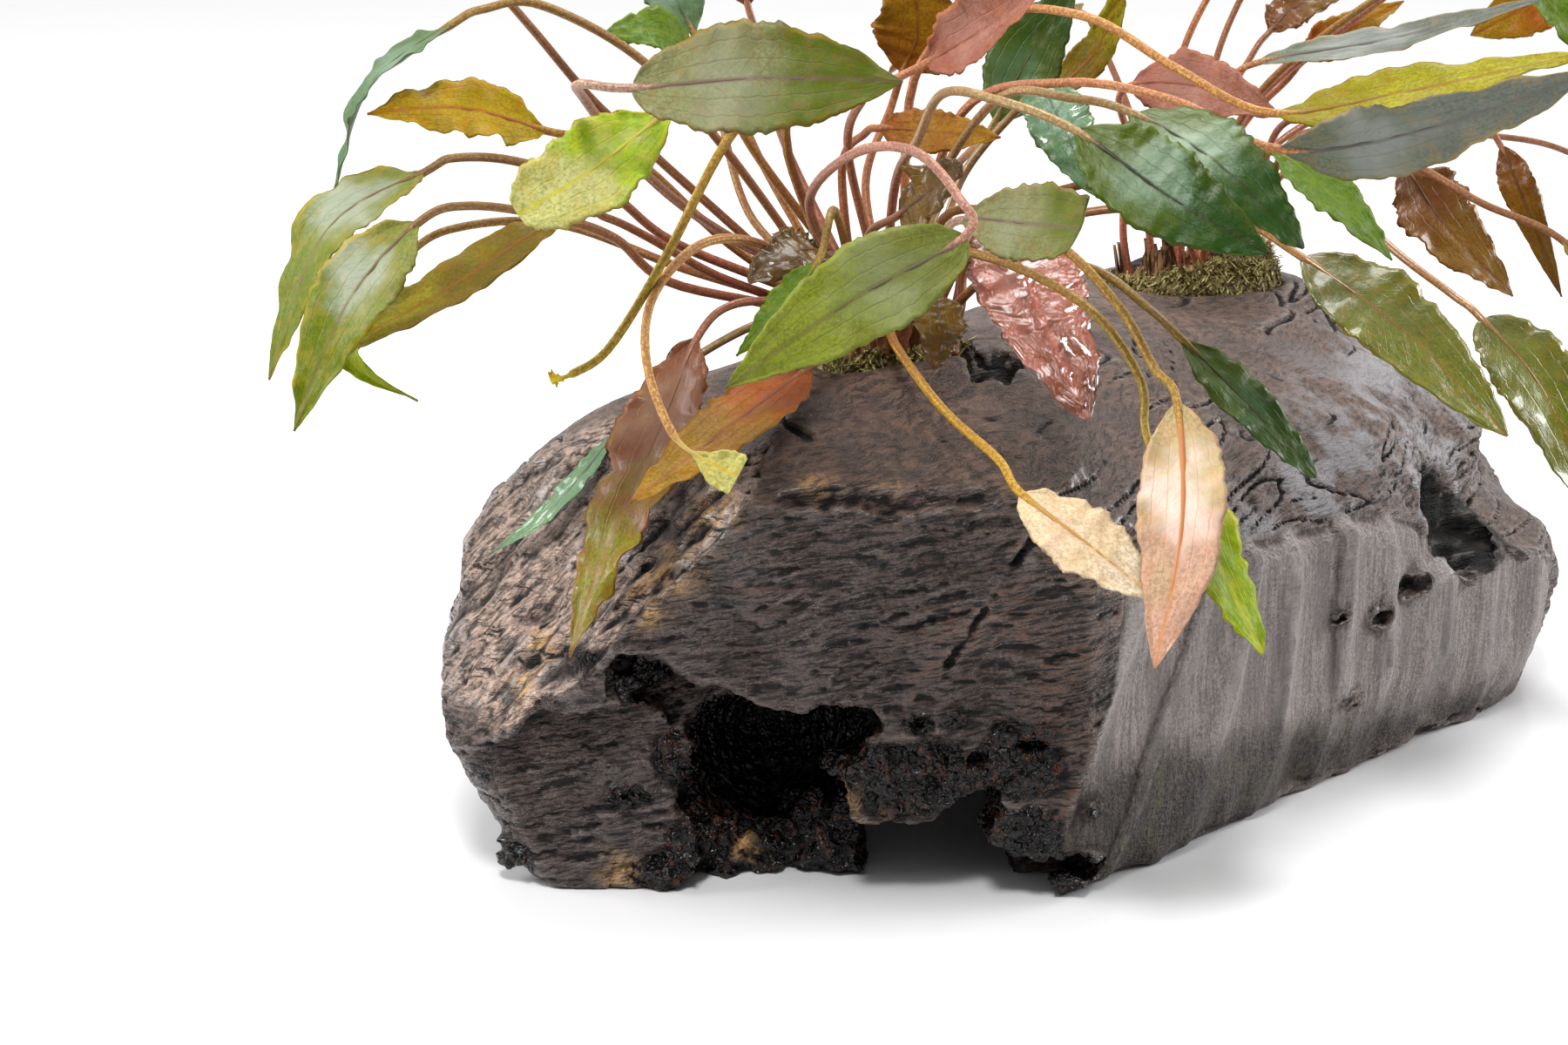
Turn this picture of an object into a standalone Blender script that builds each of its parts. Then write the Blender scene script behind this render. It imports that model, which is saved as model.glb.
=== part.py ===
# Cryptocoryne on driftwood: one hollowed log with two pockets, and a rosette of leaves in each.
# The tables are in millimetres. X runs to the viewer's right, Y away and Z up from the floor,
# and the log's front left foot is near X = 0, Y = 0.
import math

import bmesh
import bpy
from mathutils import Matrix
from mathutils import Vector
from mathutils import noise

MM = 0.001
# The middle of the whole plant's footprint, which becomes the origin.
MIDDLE = Vector((57, 96, 0))

# Clear space between a piece and the one that holds it.
GAP = 0.4

LOG_COLOUR = (0.052, 0.036, 0.027)
MOSS_COLOUR = (0.105, 0.092, 0.018)
CROWN_COLOUR = (0.062, 0.030, 0.016)
LEAF_COLOURS = {
    "grey green": (0.150, 0.200, 0.110),
    "bright green": (0.160, 0.250, 0.020),
    "deep green": (0.045, 0.120, 0.030),
    "olive": (0.160, 0.150, 0.020),
    "orange": (0.330, 0.150, 0.020),
    "pink": (0.360, 0.140, 0.110),
    "brown": (0.160, 0.075, 0.030),
}

for old in list(bpy.data.objects):
    bpy.data.objects.remove(old, do_unlink=True)


def place(point):
    return (Vector(point) - MIDDLE) * MM


def finish(name, colour, roughness):
    material = bpy.data.materials.new(name)
    material.use_nodes = True
    shader = material.node_tree.nodes["Principled BSDF"]
    shader.inputs["Base Color"].default_value = (*colour, 1)
    shader.inputs["Roughness"].default_value = roughness
    shader.inputs["Metallic"].default_value = 0
    material.diffuse_color = (*colour, 1)
    return material


def new_object(name, mesh, colour, roughness):
    thing = bpy.data.objects.new(name, mesh)
    bpy.context.scene.collection.objects.link(thing)
    thing.data.materials.clear()
    thing.data.materials.append(finish(name, colour, roughness))
    return thing


def solid(name, rings, colour, roughness, smooth=True):
    """A closed skin over a row of rings, with a flat cap on each end."""
    bm = bmesh.new()
    rows = [[bm.verts.new(point) for point in ring] for ring in rings]
    count = len(rows[0])
    for low, high in zip(rows, rows[1:]):
        for i in range(count):
            j = (i + 1) % count
            bm.faces.new((low[i], low[j], high[j], high[i]))
    bm.faces.new(list(reversed(rows[0])))
    bm.faces.new(rows[-1])
    bmesh.ops.recalc_face_normals(bm, faces=bm.faces)
    mesh = bpy.data.meshes.new(name)
    bm.to_mesh(mesh)
    bm.free()
    if smooth:
        mesh.shade_smooth()
    return new_object(name, mesh, colour, roughness)


def on_curve(points, share, closed=False):
    """The point at a share of the way along a smooth curve through all the points."""
    count = len(points)
    spans = count if closed else count - 1
    reach = share * spans
    step = min(int(reach), spans - 1)
    t = reach - step

    def pick(i):
        if closed:
            return points[i % count]
        return points[max(0, min(count - 1, i))]

    a, b, c, d = pick(step - 1), pick(step), pick(step + 1), pick(step + 2)
    return 0.5 * (2 * b + (c - a) * t + (2 * a - 5 * b + 4 * c - d) * t**2 + (3 * b - a - 3 * c + d) * t**3)


# The log.
# Its outline at six heights, each from the front left corner of the near foot, along the front
# face, up the hewn right side to the far end, and back along the rough left side.
LOG_LEVELS = {
    -6: (
        (-40, 6), (-18, 0), (15, 0), (45, 0), (58, 6), (90, 36), (122, 66), (152, 94),
        (158, 120), (146, 168), (105, 200), (55, 160), (5, 104), (-36, 62), (-48, 34),
    ),
    30: (
        (-53, 3), (-20, -3), (15, -4), (45, -3), (62, 4), (93, 33), (126, 63), (159, 93),
        (161, 122), (156, 180), (107, 216), (46, 170), (-3, 112), (-53, 74), (-63, 38),
    ),
    42: (
        (-43, 3), (-17, -4), (15, -4), (45, -3), (62, 4), (92, 33), (123, 64), (140, 95),
        (147, 122), (150, 179), (107, 216), (46, 170), (-3, 111), (-51, 75), (-60, 42),
    ),
    55: (
        (-32, 4), (-12, -3), (15, -4), (45, -3), (62, 5), (90, 34), (120, 66), (137, 96),
        (152, 122), (149, 178), (104, 214), (45, 168), (-2, 108), (-48, 76), (-56, 46),
    ),
    72: (
        (-21, 12), (-9, 0), (15, -3), (43, -2), (58, 11), (80, 44), (106, 78), (122, 106),
        (134, 132), (132, 172), (94, 208), (49, 160), (8, 98), (-28, 70), (-37, 46),
    ),
    82: (
        (5, 40), (10, 32), (20, 28), (35, 32), (45, 42), (65, 68), (88, 100), (104, 122),
        (112, 138), (117, 170), (91, 197), (62, 150), (28, 94), (2, 66), (0, 50),
    ),
}
# The crest along the top of the log, which closes the skin, and how far the top sinks at its far end.
LOG_CREST = (Vector((24, 55, 84)), Vector((96, 150, 84)))
FAR_SINK = 9
LOG_COLUMNS = 75
LOG_ROWS = 21
FIRST_VOXEL = 2.6 * MM
LUMP = 2.2
GRAIN = 0.9
LOG_TRIANGLES = 3300


def log_skin():
    columns = len(LOG_LEVELS[30])
    crest_start, crest_end = LOG_CREST
    crest_run = crest_end - crest_start
    stacks = []
    for i in range(columns):
        stack = [Vector((*outline[i], z)) for z, outline in LOG_LEVELS.items()]
        share = (stack[-1] - crest_start).dot(crest_run) / crest_run.length_squared
        share = max(0, min(1, share))
        stack.append(crest_start + crest_run * share + (stack[-1] - crest_start) * 0.02)
        for spot in stack:
            spot.z -= FAR_SINK * share * max(0, spot.z - 40) / 42
        stacks.append(stack)
    rings = []
    for row in range(LOG_ROWS + 1):
        corners = [on_curve(stack, row / LOG_ROWS) for stack in stacks]
        rings.append([place(on_curve(corners, i / LOG_COLUMNS, closed=True)) for i in range(LOG_COLUMNS)])
    return solid("driftwood", rings, LOG_COLOUR, 0.55)


# Hollows in the log: the middle, the half sizes, and the turn about the vertical in degrees.
LOG_HOLLOWS = {
    "dark mouth": ((-2, 6, 21), (15, 26, 15), 0),
    "mouth's right corner": ((8, 6, 30), (12, 16, 6), 0),
    "step under the mouth": ((0, -6, 4), (20, 19, 12), 0),
    "way through": ((25, 60, -2), (17, 90, 27), 3),
    "inner chamber": ((21, 62, 12), (21, 44, 17), 3),
    "way out": ((20, 118, 4), (19, 34, 19), 8),
    "hole in the right foot": ((46, 1, 3), (11, 9, 7), 0),
    "recess by the far knob": ((132, 82, 45), (15, 11, 8), 42),
    "ledge crack": ((12, -3, 76), (16, 6, 1.8), 0),
    "split below the crest": ((-27, -6, 46), (8, 7, 4), 0),
    "groove above the left foot": ((-43, 0, 36), (13, 7, 3), -20),
}


def ball(name, middle, halves, turn, roughness=0.10):
    """A lumpy ball, stretched to its half sizes."""
    bm = bmesh.new()
    bmesh.ops.create_icosphere(bm, subdivisions=3, radius=1)
    for vert in bm.verts:
        vert.co *= 1 + roughness * noise.noise(vert.co * 2 + Vector(middle))
    stretch = Matrix.Diagonal((*halves, 1)) * MM
    stretch[3][3] = 1
    bmesh.ops.transform(bm, verts=bm.verts, matrix=stretch)
    mesh = bpy.data.meshes.new(name)
    bm.to_mesh(mesh)
    bm.free()
    thing = bpy.data.objects.new(name, mesh)
    bpy.context.scene.collection.objects.link(thing)
    thing.location = place(middle)
    thing.rotation_euler.z = math.radians(turn)
    return thing


def settle(thing):
    """Bakes an object's modifiers into its mesh."""
    bpy.context.view_layer.update()
    seen = thing.evaluated_get(bpy.context.evaluated_depsgraph_get())
    mesh = bpy.data.meshes.new_from_object(seen)
    thing.modifiers.clear()
    thing.data = mesh


def remesh(thing, size):
    modifier = thing.modifiers.new("even skin", "REMESH")
    modifier.mode = "VOXEL"
    modifier.voxel_size = size


def cut(thing, cutter):
    modifier = thing.modifiers.new(cutter.name, "BOOLEAN")
    modifier.operation = "DIFFERENCE"
    modifier.object = cutter
    cutter.display_type = "WIRE"
    cutter.hide_render = True


# The flat faces that were sawn across the front and above it, split off the left corner and hewn along
# the right: a point on each, and the way it faces.
LOG_FACES = (
    (Vector((15, -3, 55)), Vector((0, -1, 0))),
    (Vector((15, -1, 76)), Vector((0.03, -0.22, 0.975))),
    (Vector((-7, -3, 72)), Vector((-0.634, -0.481, 0.605))),
    (Vector((59, 3, 0)), Vector((0.662, -0.750, 0))),
)
# The hewn right side, as a line on the floor, with the ridges between its upright gouge marks.
HEWN_START = Vector((58, 4, 0))
HEWN_END = Vector((160, 94, 0))
HEWN_TOP = 62
HEWN_FALL = 0.22
RIDGES = (-12, 0, 13, 23, 33.5, 42, 48.7, 61, 72, 78, 87, 94, 105, 114, 123, 129, 134, 146)
FLUTE_LEAN = 0.1
FLUTE_DEPTH = 0.12
BROAD_SIZE = 22
GRAIN_SIZE = Vector((16, 16, 3.5))


def trimmed(spot):
    """A point of the log's skin, brought back to a flat face that it stands proud of."""
    for on_face, outward in LOG_FACES:
        spot = spot - outward * max(0, (spot - on_face).dot(outward))
    return spot


def gouge(along):
    """How deep the gouge marks are at a place along the hewn side: a scoop between each two ridges."""
    for low, high in zip(RIDGES, RIDGES[1:]):
        if low <= along < high:
            phase = (along - low) / (high - low)
            return FLUTE_DEPTH * (high - low) * 4 * phase * (1 - phase)
    return 0


def weather(vert):
    """Moves a point of the log's skin along its normal: broad lumps, grain steps and gouge marks."""
    spot = vert.co / MM + MIDDLE
    run = (HEWN_END - HEWN_START).normalized()
    along = (spot - HEWN_START).dot(run)
    off_face = (spot - HEWN_START).dot(Vector((run.y, -run.x, 0)))
    below_edge = spot.z < HEWN_TOP - HEWN_FALL * along
    if 0 < along < RIDGES[-1] and off_face > -9 and below_edge and vert.normal.y < -0.3:
        return -gouge(along + FLUTE_LEAN * spot.z)
    broad = LUMP * noise.noise(spot / BROAD_SIZE)
    grain = GRAIN * noise.noise(Vector(part / size for part, size in zip(spot, GRAIN_SIZE)))
    return broad + grain


# The two planting pockets: a lathe profile of radius and height, and where each one stands.
FRONT_POCKET = Vector((18, 68, 0))
BACK_POCKET = Vector((92, 170, 0))
FRONT_REACH = 19
BACK_REACH = 21
FRONT_RIM = 82
BACK_RIM = 72
CROWN_REACH = 15
TURNS = 16
# Profiles from the bottom up: shares of the reach, and heights from the rim.
POCKET_PROFILE = ((0.62, -27), (0.9, -22), (1, -10), (1.08, 12))
CROWN_PROFILE = ((0.45, -22), (0.8, -16), (1, -6), (1, -1))
CROWN_DOME = ((0.93, 1.2), (0.6, 1.8))
# The moss's lip, from the pocket's wall in to the crown: distances from the wall, and heights from the rim.
MOSS_LIP = ((1.2, -2.5), (1.4, 1.5), (2.4, 3.5))
MOSS_INNER_LIP = (1.0, 2.5)


def lathe(name, foot, profile, colour, roughness):
    rings = []
    for radius, height in profile:
        ring = []
        for i in range(TURNS):
            angle = math.tau * i / TURNS
            ring.append(place(foot + Vector((radius * math.cos(angle), radius * math.sin(angle), height))))
        rings.append(ring)
    return solid(name, rings, colour, roughness)


def profile_at(profile, reach, rim):
    return [(reach * share, rim + height) for share, height in profile]


def pot_up(side, foot, reach, rim):
    """Moss packed into a pocket, with the plant's crown sitting in it."""
    wall = profile_at(POCKET_PROFILE[:3], reach - GAP, rim)
    wall[0] = (wall[0][0], wall[0][1] + GAP)
    lip = [(reach - inward, rim + height) for inward, height in MOSS_LIP]
    inward, height = MOSS_INNER_LIP
    lip.append((CROWN_REACH + inward, rim + height))
    well = [(radius + GAP, height) for radius, height in profile_at(CROWN_PROFILE, CROWN_REACH, rim)]
    well[0] = (well[0][0], well[0][1] - GAP)
    lathe(f"moss_{side}", foot, wall + lip + well[::-1], MOSS_COLOUR, 0.9)
    lathe(f"crown_{side}", foot, profile_at(CROWN_PROFILE + CROWN_DOME, CROWN_REACH, rim), CROWN_COLOUR, 0.6)


def build_log():
    log = log_skin()
    remesh(log, FIRST_VOXEL)
    hollows = [ball(name, *sizes) for name, sizes in LOG_HOLLOWS.items()]
    for hollow in hollows:
        cut(log, hollow)
    settle(log)
    remesh(log, FIRST_VOXEL)
    settle(log)
    bm = bmesh.new()
    bm.from_mesh(log.data)
    for vert in bm.verts:
        vert.co = place(trimmed(vert.co / MM + MIDDLE))
    bm.normal_update()
    moves = [(vert, vert.normal * weather(vert) * MM) for vert in bm.verts]
    for vert, move in moves:
        vert.co += move
    bm.to_mesh(log.data)
    bm.free()
    faces = sum(len(face.vertices) - 2 for face in log.data.polygons)
    thinner = log.modifiers.new("fewer faces", "DECIMATE")
    thinner.ratio = LOG_TRIANGLES / faces
    settle(log)
    log.data.materials.clear()
    log.data.materials.append(finish("driftwood", LOG_COLOUR, 0.55))
    for hollow in hollows:
        bpy.data.objects.remove(hollow, do_unlink=True)
    front_profile = profile_at(POCKET_PROFILE, FRONT_REACH, FRONT_RIM)
    back_profile = profile_at(POCKET_PROFILE, BACK_REACH, BACK_RIM)
    front = lathe("front pocket", FRONT_POCKET, front_profile, LOG_COLOUR, 0.5)
    back = lathe("back pocket", BACK_POCKET, back_profile, LOG_COLOUR, 0.5)
    bpy.ops.mesh.primitive_cube_add(size=0.5, location=(0, 0, -0.25))
    floor = bpy.context.object
    floor.name = "under the floor"
    for cutter in (front, back, floor):
        cut(log, cutter)
    settle(log)
    for cutter in (front, back, floor):
        bpy.data.objects.remove(cutter, do_unlink=True)


# A leaf is one piece: a round stalk that flattens into a long blade.
# Each row holds the distance and bearing of its foot from the middle of the crown, the points that
# the stalk passes, the points of the blade's midrib from neck to tip, the blade's greatest width,
# the way its upper side faces, and its colour. A blade with a last value is cut off at that share.
STALK_RADIUS = 1.0
BLADE_THICKNESS = 1.0
STALK_RINGS = 5
BLADE_SHARES = (0.04, 0.16, 0.36, 0.58, 0.8, 1)
SPROUT = 7

FRONT_LEAVES = (
    # The near left side.
    (5, 215, ((-13, 40, 112), (-25, 18, 127), (-32, 3, 140), (-31, -20, 146)),
     ((-23, -24, 146), (-3, -28, 148), (18, -24, 147)), 18, (0, -10, 6), "grey green"),
    (2, 210, ((-3, 40, 122), (-12, 14, 140)),
     ((-18, -9, 140), (-30, -17, 132), (-41, -21, 126)), 18, (-2, -9, 6), "bright green"),
    (8, 166, ((-11, 62, 122), (-26, 52, 140), (-42, 38, 151), (-51, 32, 151)),
     ((-56, 28, 149), (-70, 25, 139), (-77, 25, 121)), 12, (-8, -2, 6), "grey green"),
    (11, 172, ((-23, 61, 120), (-34, 52, 132), (-44, 44, 146), (-52, 36, 157)),
     ((-59, 28, 164), (-72, 20, 172), (-88, 14, 172)), 13, (-2, -4, 10), "olive"),
    (11, 190, ((-11, 56, 106), (-25, 44, 122), (-34, 36, 128)),
     ((-41, 33, 130), (-55, 26, 135), (-70, 20, 135)), 13, (0, -8, 8), "olive"),
    (8, 212, ((-19, 47, 107), (-31, 35, 119), (-45, 25, 126), (-55, 18, 128)),
     ((-60, 16, 126), (-76, 10, 117), (-86, 4, 93)), 18, (-7, -6, 8), "grey green"),
    (14, 210, ((-20, 38, 102), (-29, 24, 113), (-38, 12, 119), (-51, 2, 123)),
     ((-59, -2, 121), (-70, -9, 109), (-79, -13, 89)), 17, (-5, -9, 6), "grey green"),
    (14, 185, ((-20, 61, 100), (-40, 50, 110), (-56, 40, 112)),
     ((-66, 34, 108), (-76, 28, 92), (-64, 24, 84)), 6, (-6, -4, 6), "olive"),
    (14, 198, ((-13, 50, 101), (-24, 39, 110), (-31, 32, 115)),
     ((-37, 26, 117), (-59, 14, 105), (-80, 6, 95)), 12, (-2, -4, 10), "olive"),
    (8, 225, ((1, 38, 124), (0, 12, 141), (-9, 1, 134), (-19, -4, 116), (-28, -8, 102)),
     ((-34, -10, 98), (-38, -11, 97)), 5, (0, -2, 10), "orange"),
    (14, 235, ((2, 44, 104), (-6, 22, 113), (-14, 4, 116), (-21, -6, 110), (-22, -13, 101)),
     ((-18, -16, 90), (-13, -18, 85), (-5, -20, 82)), 9, (4, -8, 6), "bright green"),
    (14, 248, ((1, 43, 97), (-9, 34, 99)),
     ((-15, 27, 95), (-21, 17, 82), (-30, 3, 64), (-36, -8, 48)), 15, (-5, -8, 8), "brown"),
    (14, 261, ((9, 44, 89),),
     ((4, 31, 88), (-9, 8, 84), (-25, -13, 77)), 13, (0, -4, 10), "orange"),
    (14, 222, ((-5, 48, 92), (-20, 40, 85)),
     ((-29, 33, 77), (-41, 26, 64), (-54, 31, 53)), 5, (-5, -5, 8), "deep green"),
    # The near right side.
    (5, 250, ((6, 40, 111), (5, 22, 122), (12, -4, 133), (20, -22, 136), (26, -32, 131)),
     ((27, -36, 126), (10, -40, 117), (-9, -42, 104)), 14, (4, -10, 8), "grey green"),
    (11, 252, ((9, 32, 116),),
     ((6, 17, 111), (0, 10, 104), (-8, 5, 97)), 8, (-4, -8, 6), "deep green"),
    (11, 270, ((12, 42, 104),),
     ((8, 29, 109), (2, 22, 111), (-6, 16, 107)), 10, (0, -6, 8), "brown"),
    (8, 272, ((15, 46, 108),),
     ((20, 34, 115), (25, 25, 121), (30, 18, 127)), 10, (-6, -8, 4), "olive"),
    (14, 287, ((23, 42, 99),),
     ((26, 32, 101), (27, 26, 97), (26, 23, 90)), 9, (2, -8, 3), "brown"),
    (14, 308, ((34, 52, 106),),
     ((38, 39, 113), (43, 24, 103), (51, 4, 86)), 19, (1, -10, 5), "pink"),
    (8, 288, ((22, 38, 107), (26, 13, 114)),
     ((28, -5, 122), (40, -14, 123), (54, -26, 124)), 14, (1, -10, 6), "grey green", 0.7),
    (11, 294, ((27, 36, 107), (36, 16, 111), (50, 2, 106), (58, -6, 96)),
     ((59, -12, 87), (67, -22, 74), (76, -30, 57)), 13, (5, -7, 6), "bright green"),
    (11, 306, ((29, 36, 115), (44, 9, 116), (54, -4, 108), (59, -14, 100)),
     ((62, -20, 96), (62, -31, 79), (58, -36, 57)), 13, (-3, -10, 4), "pink"),
    (14, 275, ((20, 36, 91), (27, 12, 86), (35, -8, 83)),
     ((38, -17, 80), (48, -25, 74), (59, -29, 66)), 12, (-2, -6, 10), "pink"),
    (14, 322, ((41, 46, 104), (54, 32, 106), (63, 23, 101)),
     ((68, 17, 97), (80, 9, 86), (90, 4, 76)), 9, (3, -8, 9), "deep green"),
    (5, 280, ((20, 50, 117), (23, 30, 129), (26, 10, 140), (34, -4, 141)),
     ((45, -14, 138), (59, -22, 129), (74, -26, 121)), 15, (-3, -8, 8), "deep green"),
    (8, 320, ((27, 58, 113), (37, 36, 135), (48, 18, 138)),
     ((57, 8, 137), (69, -5, 131), (82, -13, 119)), 18, (3, -7, 9), "deep green"),
    (5, 20, ((24, 72, 132), (36, 56, 147), (52, 38, 149), (66, 26, 142)),
     ((81, 15, 136), (101, 5, 141), (127, -6, 149)), 12, (-3, -5, 10), "olive"),
    (5, 335, ((32, 60, 128), (49, 42, 137), (66, 21, 137)),
     ((80, 4, 132), (99, -9, 137), (124, -22, 149)), 15, (2, -10, -3), "grey green"),
    (14, 15, ((38, 74, 106), (58, 62, 116), (76, 50, 123)),
     ((86, 42, 125), (96, 35, 118), (106, 29, 108)), 14, (5, -6, 8), "bright green"),
    (14, 350, ((36, 62, 103), (56, 48, 113), (76, 30, 116)),
     ((88, 18, 111), (103, 7, 101), (120, -2, 85)), 17, (4, -8, 6), "olive"),
    # The far side.
    (8, 80, ((16, 90, 110), (21, 96, 124)),
     ((23, 95, 131), (26, 92, 141), (22, 88, 158)), 18, (-2, -10, 0), "orange"),
    (2, 60, ((12, 66, 120), (14, 48, 133), (19, 32, 139)),
     ((24, 24, 143), (33, 14, 150), (43, 6, 159)), 12, (-6, -8, 4), "pink"),
    (11, 55, ((30, 92, 104), (37, 101, 112)),
     ((42, 103, 120), (49, 102, 134), (57, 98, 148)), 16, (-5, -10, 2), "deep green"),
    (11, 35, ((34, 82, 112), (45, 76, 128)),
     ((47, 66, 133), (51, 57, 126), (57, 51, 115)), 11, (1, -10, 3), "grey green"),
    (8, 120, ((11, 74, 116), (15, 66, 124)),
     ((18, 60, 126), (28, 55, 126), (39, 50, 126)), 9, (0, -9, 6), "orange"),
    (11, 110, ((0, 92, 118), (-4, 98, 134)),
     ((-7, 101, 143), (-10, 103, 156), (-19, 102, 170)), 12, (2, -10, 2), "brown"),
    (8, 150, ((-4, 78, 116), (-11, 84, 130)),
     ((-17, 83, 136), (-24, 80, 141), (-34, 76, 141)), 12, (0, -7, 8), "bright green"),
    (14, 130, ((-7, 92, 104), (-14, 108, 126)),
     ((-18, 112, 136), (-26, 116, 148), (-40, 117, 154)), 14, (0, -8, 8), "grey green"),
    (14, 80, ((28, 100, 104), (44, 122, 116)),
     ((54, 130, 120), (66, 134, 131), (71, 132, 147)), 8, (-3, -9, 2), "olive"),
)

BACK_LEAVES = (
    # The near and right sides.
    (10, 320, ((98, 146, 106), (107, 114, 110), (117, 82, 100), (127, 68, 93)),
     ((131, 61, 90), (142, 52, 77), (152, 44, 53)), 19, (4, -9, 6), "olive"),
    (13, 335, ((110, 140, 111), (126, 110, 111), (139, 96, 105)),
     ((152, 86, 100), (162, 76, 88), (170, 68, 72)), 15, (6, -7, 7), "olive"),
    (13, 0, ((110, 164, 108), (122, 158, 111)),
     ((135, 151, 103), (144, 145, 91), (159, 139, 76)), 19, (3, -10, 6), "brown"),
    (10, 5, ((112, 178, 102), (139, 179, 115), (156, 174, 110)),
     ((162, 171, 104), (167, 165, 92), (176, 160, 71)), 8, (-4, -8, 3), "brown"),
    (10, 30, ((106, 186, 107), (133, 196, 129), (158, 197, 145), (176, 194, 143)),
     ((178, 193, 139), (170, 191, 132), (158, 189, 126)), 15, (0, -10, 3), "orange"),
    (7, 290, ((95, 150, 107), (95, 141, 120)),
     ((99, 136, 127), (126, 124, 134), (154, 112, 144)), 8, (0, -6, 8), "grey green"),
    (4, 315, ((102, 160, 113), (121, 142, 137), (140, 132, 149)),
     ((151, 130, 146), (160, 126, 138), (168, 121, 127)), 10, (4, -8, 6), "deep green"),
    (13, 270, ((82, 144, 99), (70, 122, 118)),
     ((70, 112, 126), (83, 103, 127), (98, 98, 122)), 15, (0, -8, 6), "pink"),
    (7, 60, ((99, 180, 107), (107, 184, 122)),
     ((111, 186, 127), (118, 188, 133), (136, 193, 139)), 10, (-3, -8, 6), "brown"),
    (13, 55, ((106, 192, 102), (118, 196, 115)),
     ((122, 198, 119), (131, 200, 125), (146, 205, 132)), 11, (-4, -8, 5), "brown"),
    # The far and left sides.
    (4, 110, ((87, 172, 105), (90, 176, 124), (98, 180, 140)),
     ((104, 181, 148), (113, 180, 158), (128, 176, 164)), 14, (-4, -8, 5), "orange"),
    (13, 85, ((98, 196, 99), (103, 207, 119), (110, 213, 134)),
     ((116, 218, 141), (134, 226, 146), (153, 232, 138)), 15, (0, -5, 10), "olive"),
    (13, 20, ((116, 178, 97), (141, 186, 104), (166, 187, 103)),
     ((181, 186, 100), (192, 181, 93), (202, 176, 80)), 13, (4, -4, 9), "brown"),
    (13, 160, ((76, 180, 98), (60, 190, 116)),
     ((53, 194, 122), (38, 202, 124), (22, 208, 112)), 15, (-3, 2, 10), "orange"),
    (10, 130, ((82, 186, 103), (74, 204, 124)),
     ((70, 210, 129), (63, 222, 128), (58, 234, 117)), 14, (-2, 5, 10), "olive"),
)


def blade_share(t):
    """Half the blade's width at a share of its length: a rounded foot and a drawn-out tip."""
    return math.sin(math.pi * t**0.75) ** 0.9


def build_leaf(name, foot, crown_top, row):
    distance, bearing, stalk, blade, width, face, colour = row[:7]
    kept = row[7] if len(row) > 7 else 1
    angle = math.radians(bearing)
    lean = Vector((math.cos(angle), math.sin(angle), 0))
    seat = foot + lean * distance + Vector((0, 0, crown_top + GAP))
    sprout = seat + lean * distance * 0.12 + Vector((0, 0, SPROUT))
    route = [seat, sprout] + [Vector(point) for point in stalk + blade]
    neck = (len(route) - len(blade)) / (len(route) - 1)
    shares = [neck * (i / STALK_RINGS) for i in range(STALK_RINGS + 1)]
    shares += [neck + (1 - neck) * share * kept for share in BLADE_SHARES]
    spots = [on_curve(route, share) for share in shares]
    ways = []
    for share in shares:
        ahead = on_curve(route, min(1, share + 0.01))
        behind = on_curve(route, max(0, share - 0.01))
        ways.append((ahead - behind).normalized())
    # The upper side's direction is given at the blade's middle and carried along without twisting.
    middle = len(shares) - 3
    ups = [None] * len(shares)
    ups[middle] = Vector(face)
    for i in range(middle + 1, len(shares)):
        ups[i] = ups[i - 1] - ways[i] * ups[i - 1].dot(ways[i])
    for i in range(middle, -1, -1):
        start = ups[min(i + 1, middle)]
        ups[i] = start - ways[i] * start.dot(ways[i])
    rings = []
    for i, (share, spot, way, up) in enumerate(zip(shares, spots, ways, ups)):
        up = up.normalized()
        side = way.cross(up)
        half = STALK_RADIUS
        thick = STALK_RADIUS
        if i > STALK_RINGS:
            t = (share - neck) / (1 - neck)
            half = max(0.6, width / 2 * blade_share(min(t, 0.995)))
            thick = BLADE_THICKNESS / 2
        ring = [spot + side * half, spot + up * thick, spot - side * half, spot - up * thick]
        rings.append([place(point) for point in ring])
    solid(name, rings, LEAF_COLOURS[colour], 0.4)


def build_leaves(side, foot, rim, rows):
    for i, row in enumerate(rows, start=1):
        build_leaf(f"{side}_leaf_{i:02d}", foot, rim + CROWN_DOME[-1][1], row)


build_log()
pot_up("front", FRONT_POCKET, FRONT_REACH, FRONT_RIM)
pot_up("back", BACK_POCKET, BACK_REACH, BACK_RIM)
build_leaves("front", FRONT_POCKET, FRONT_RIM, FRONT_LEAVES)
build_leaves("back", BACK_POCKET, BACK_RIM, BACK_LEAVES)
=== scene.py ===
import math
from typing import NamedTuple

import bmesh
import bpy
import numpy as np
from mathutils import Matrix, Vector, noise


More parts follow.
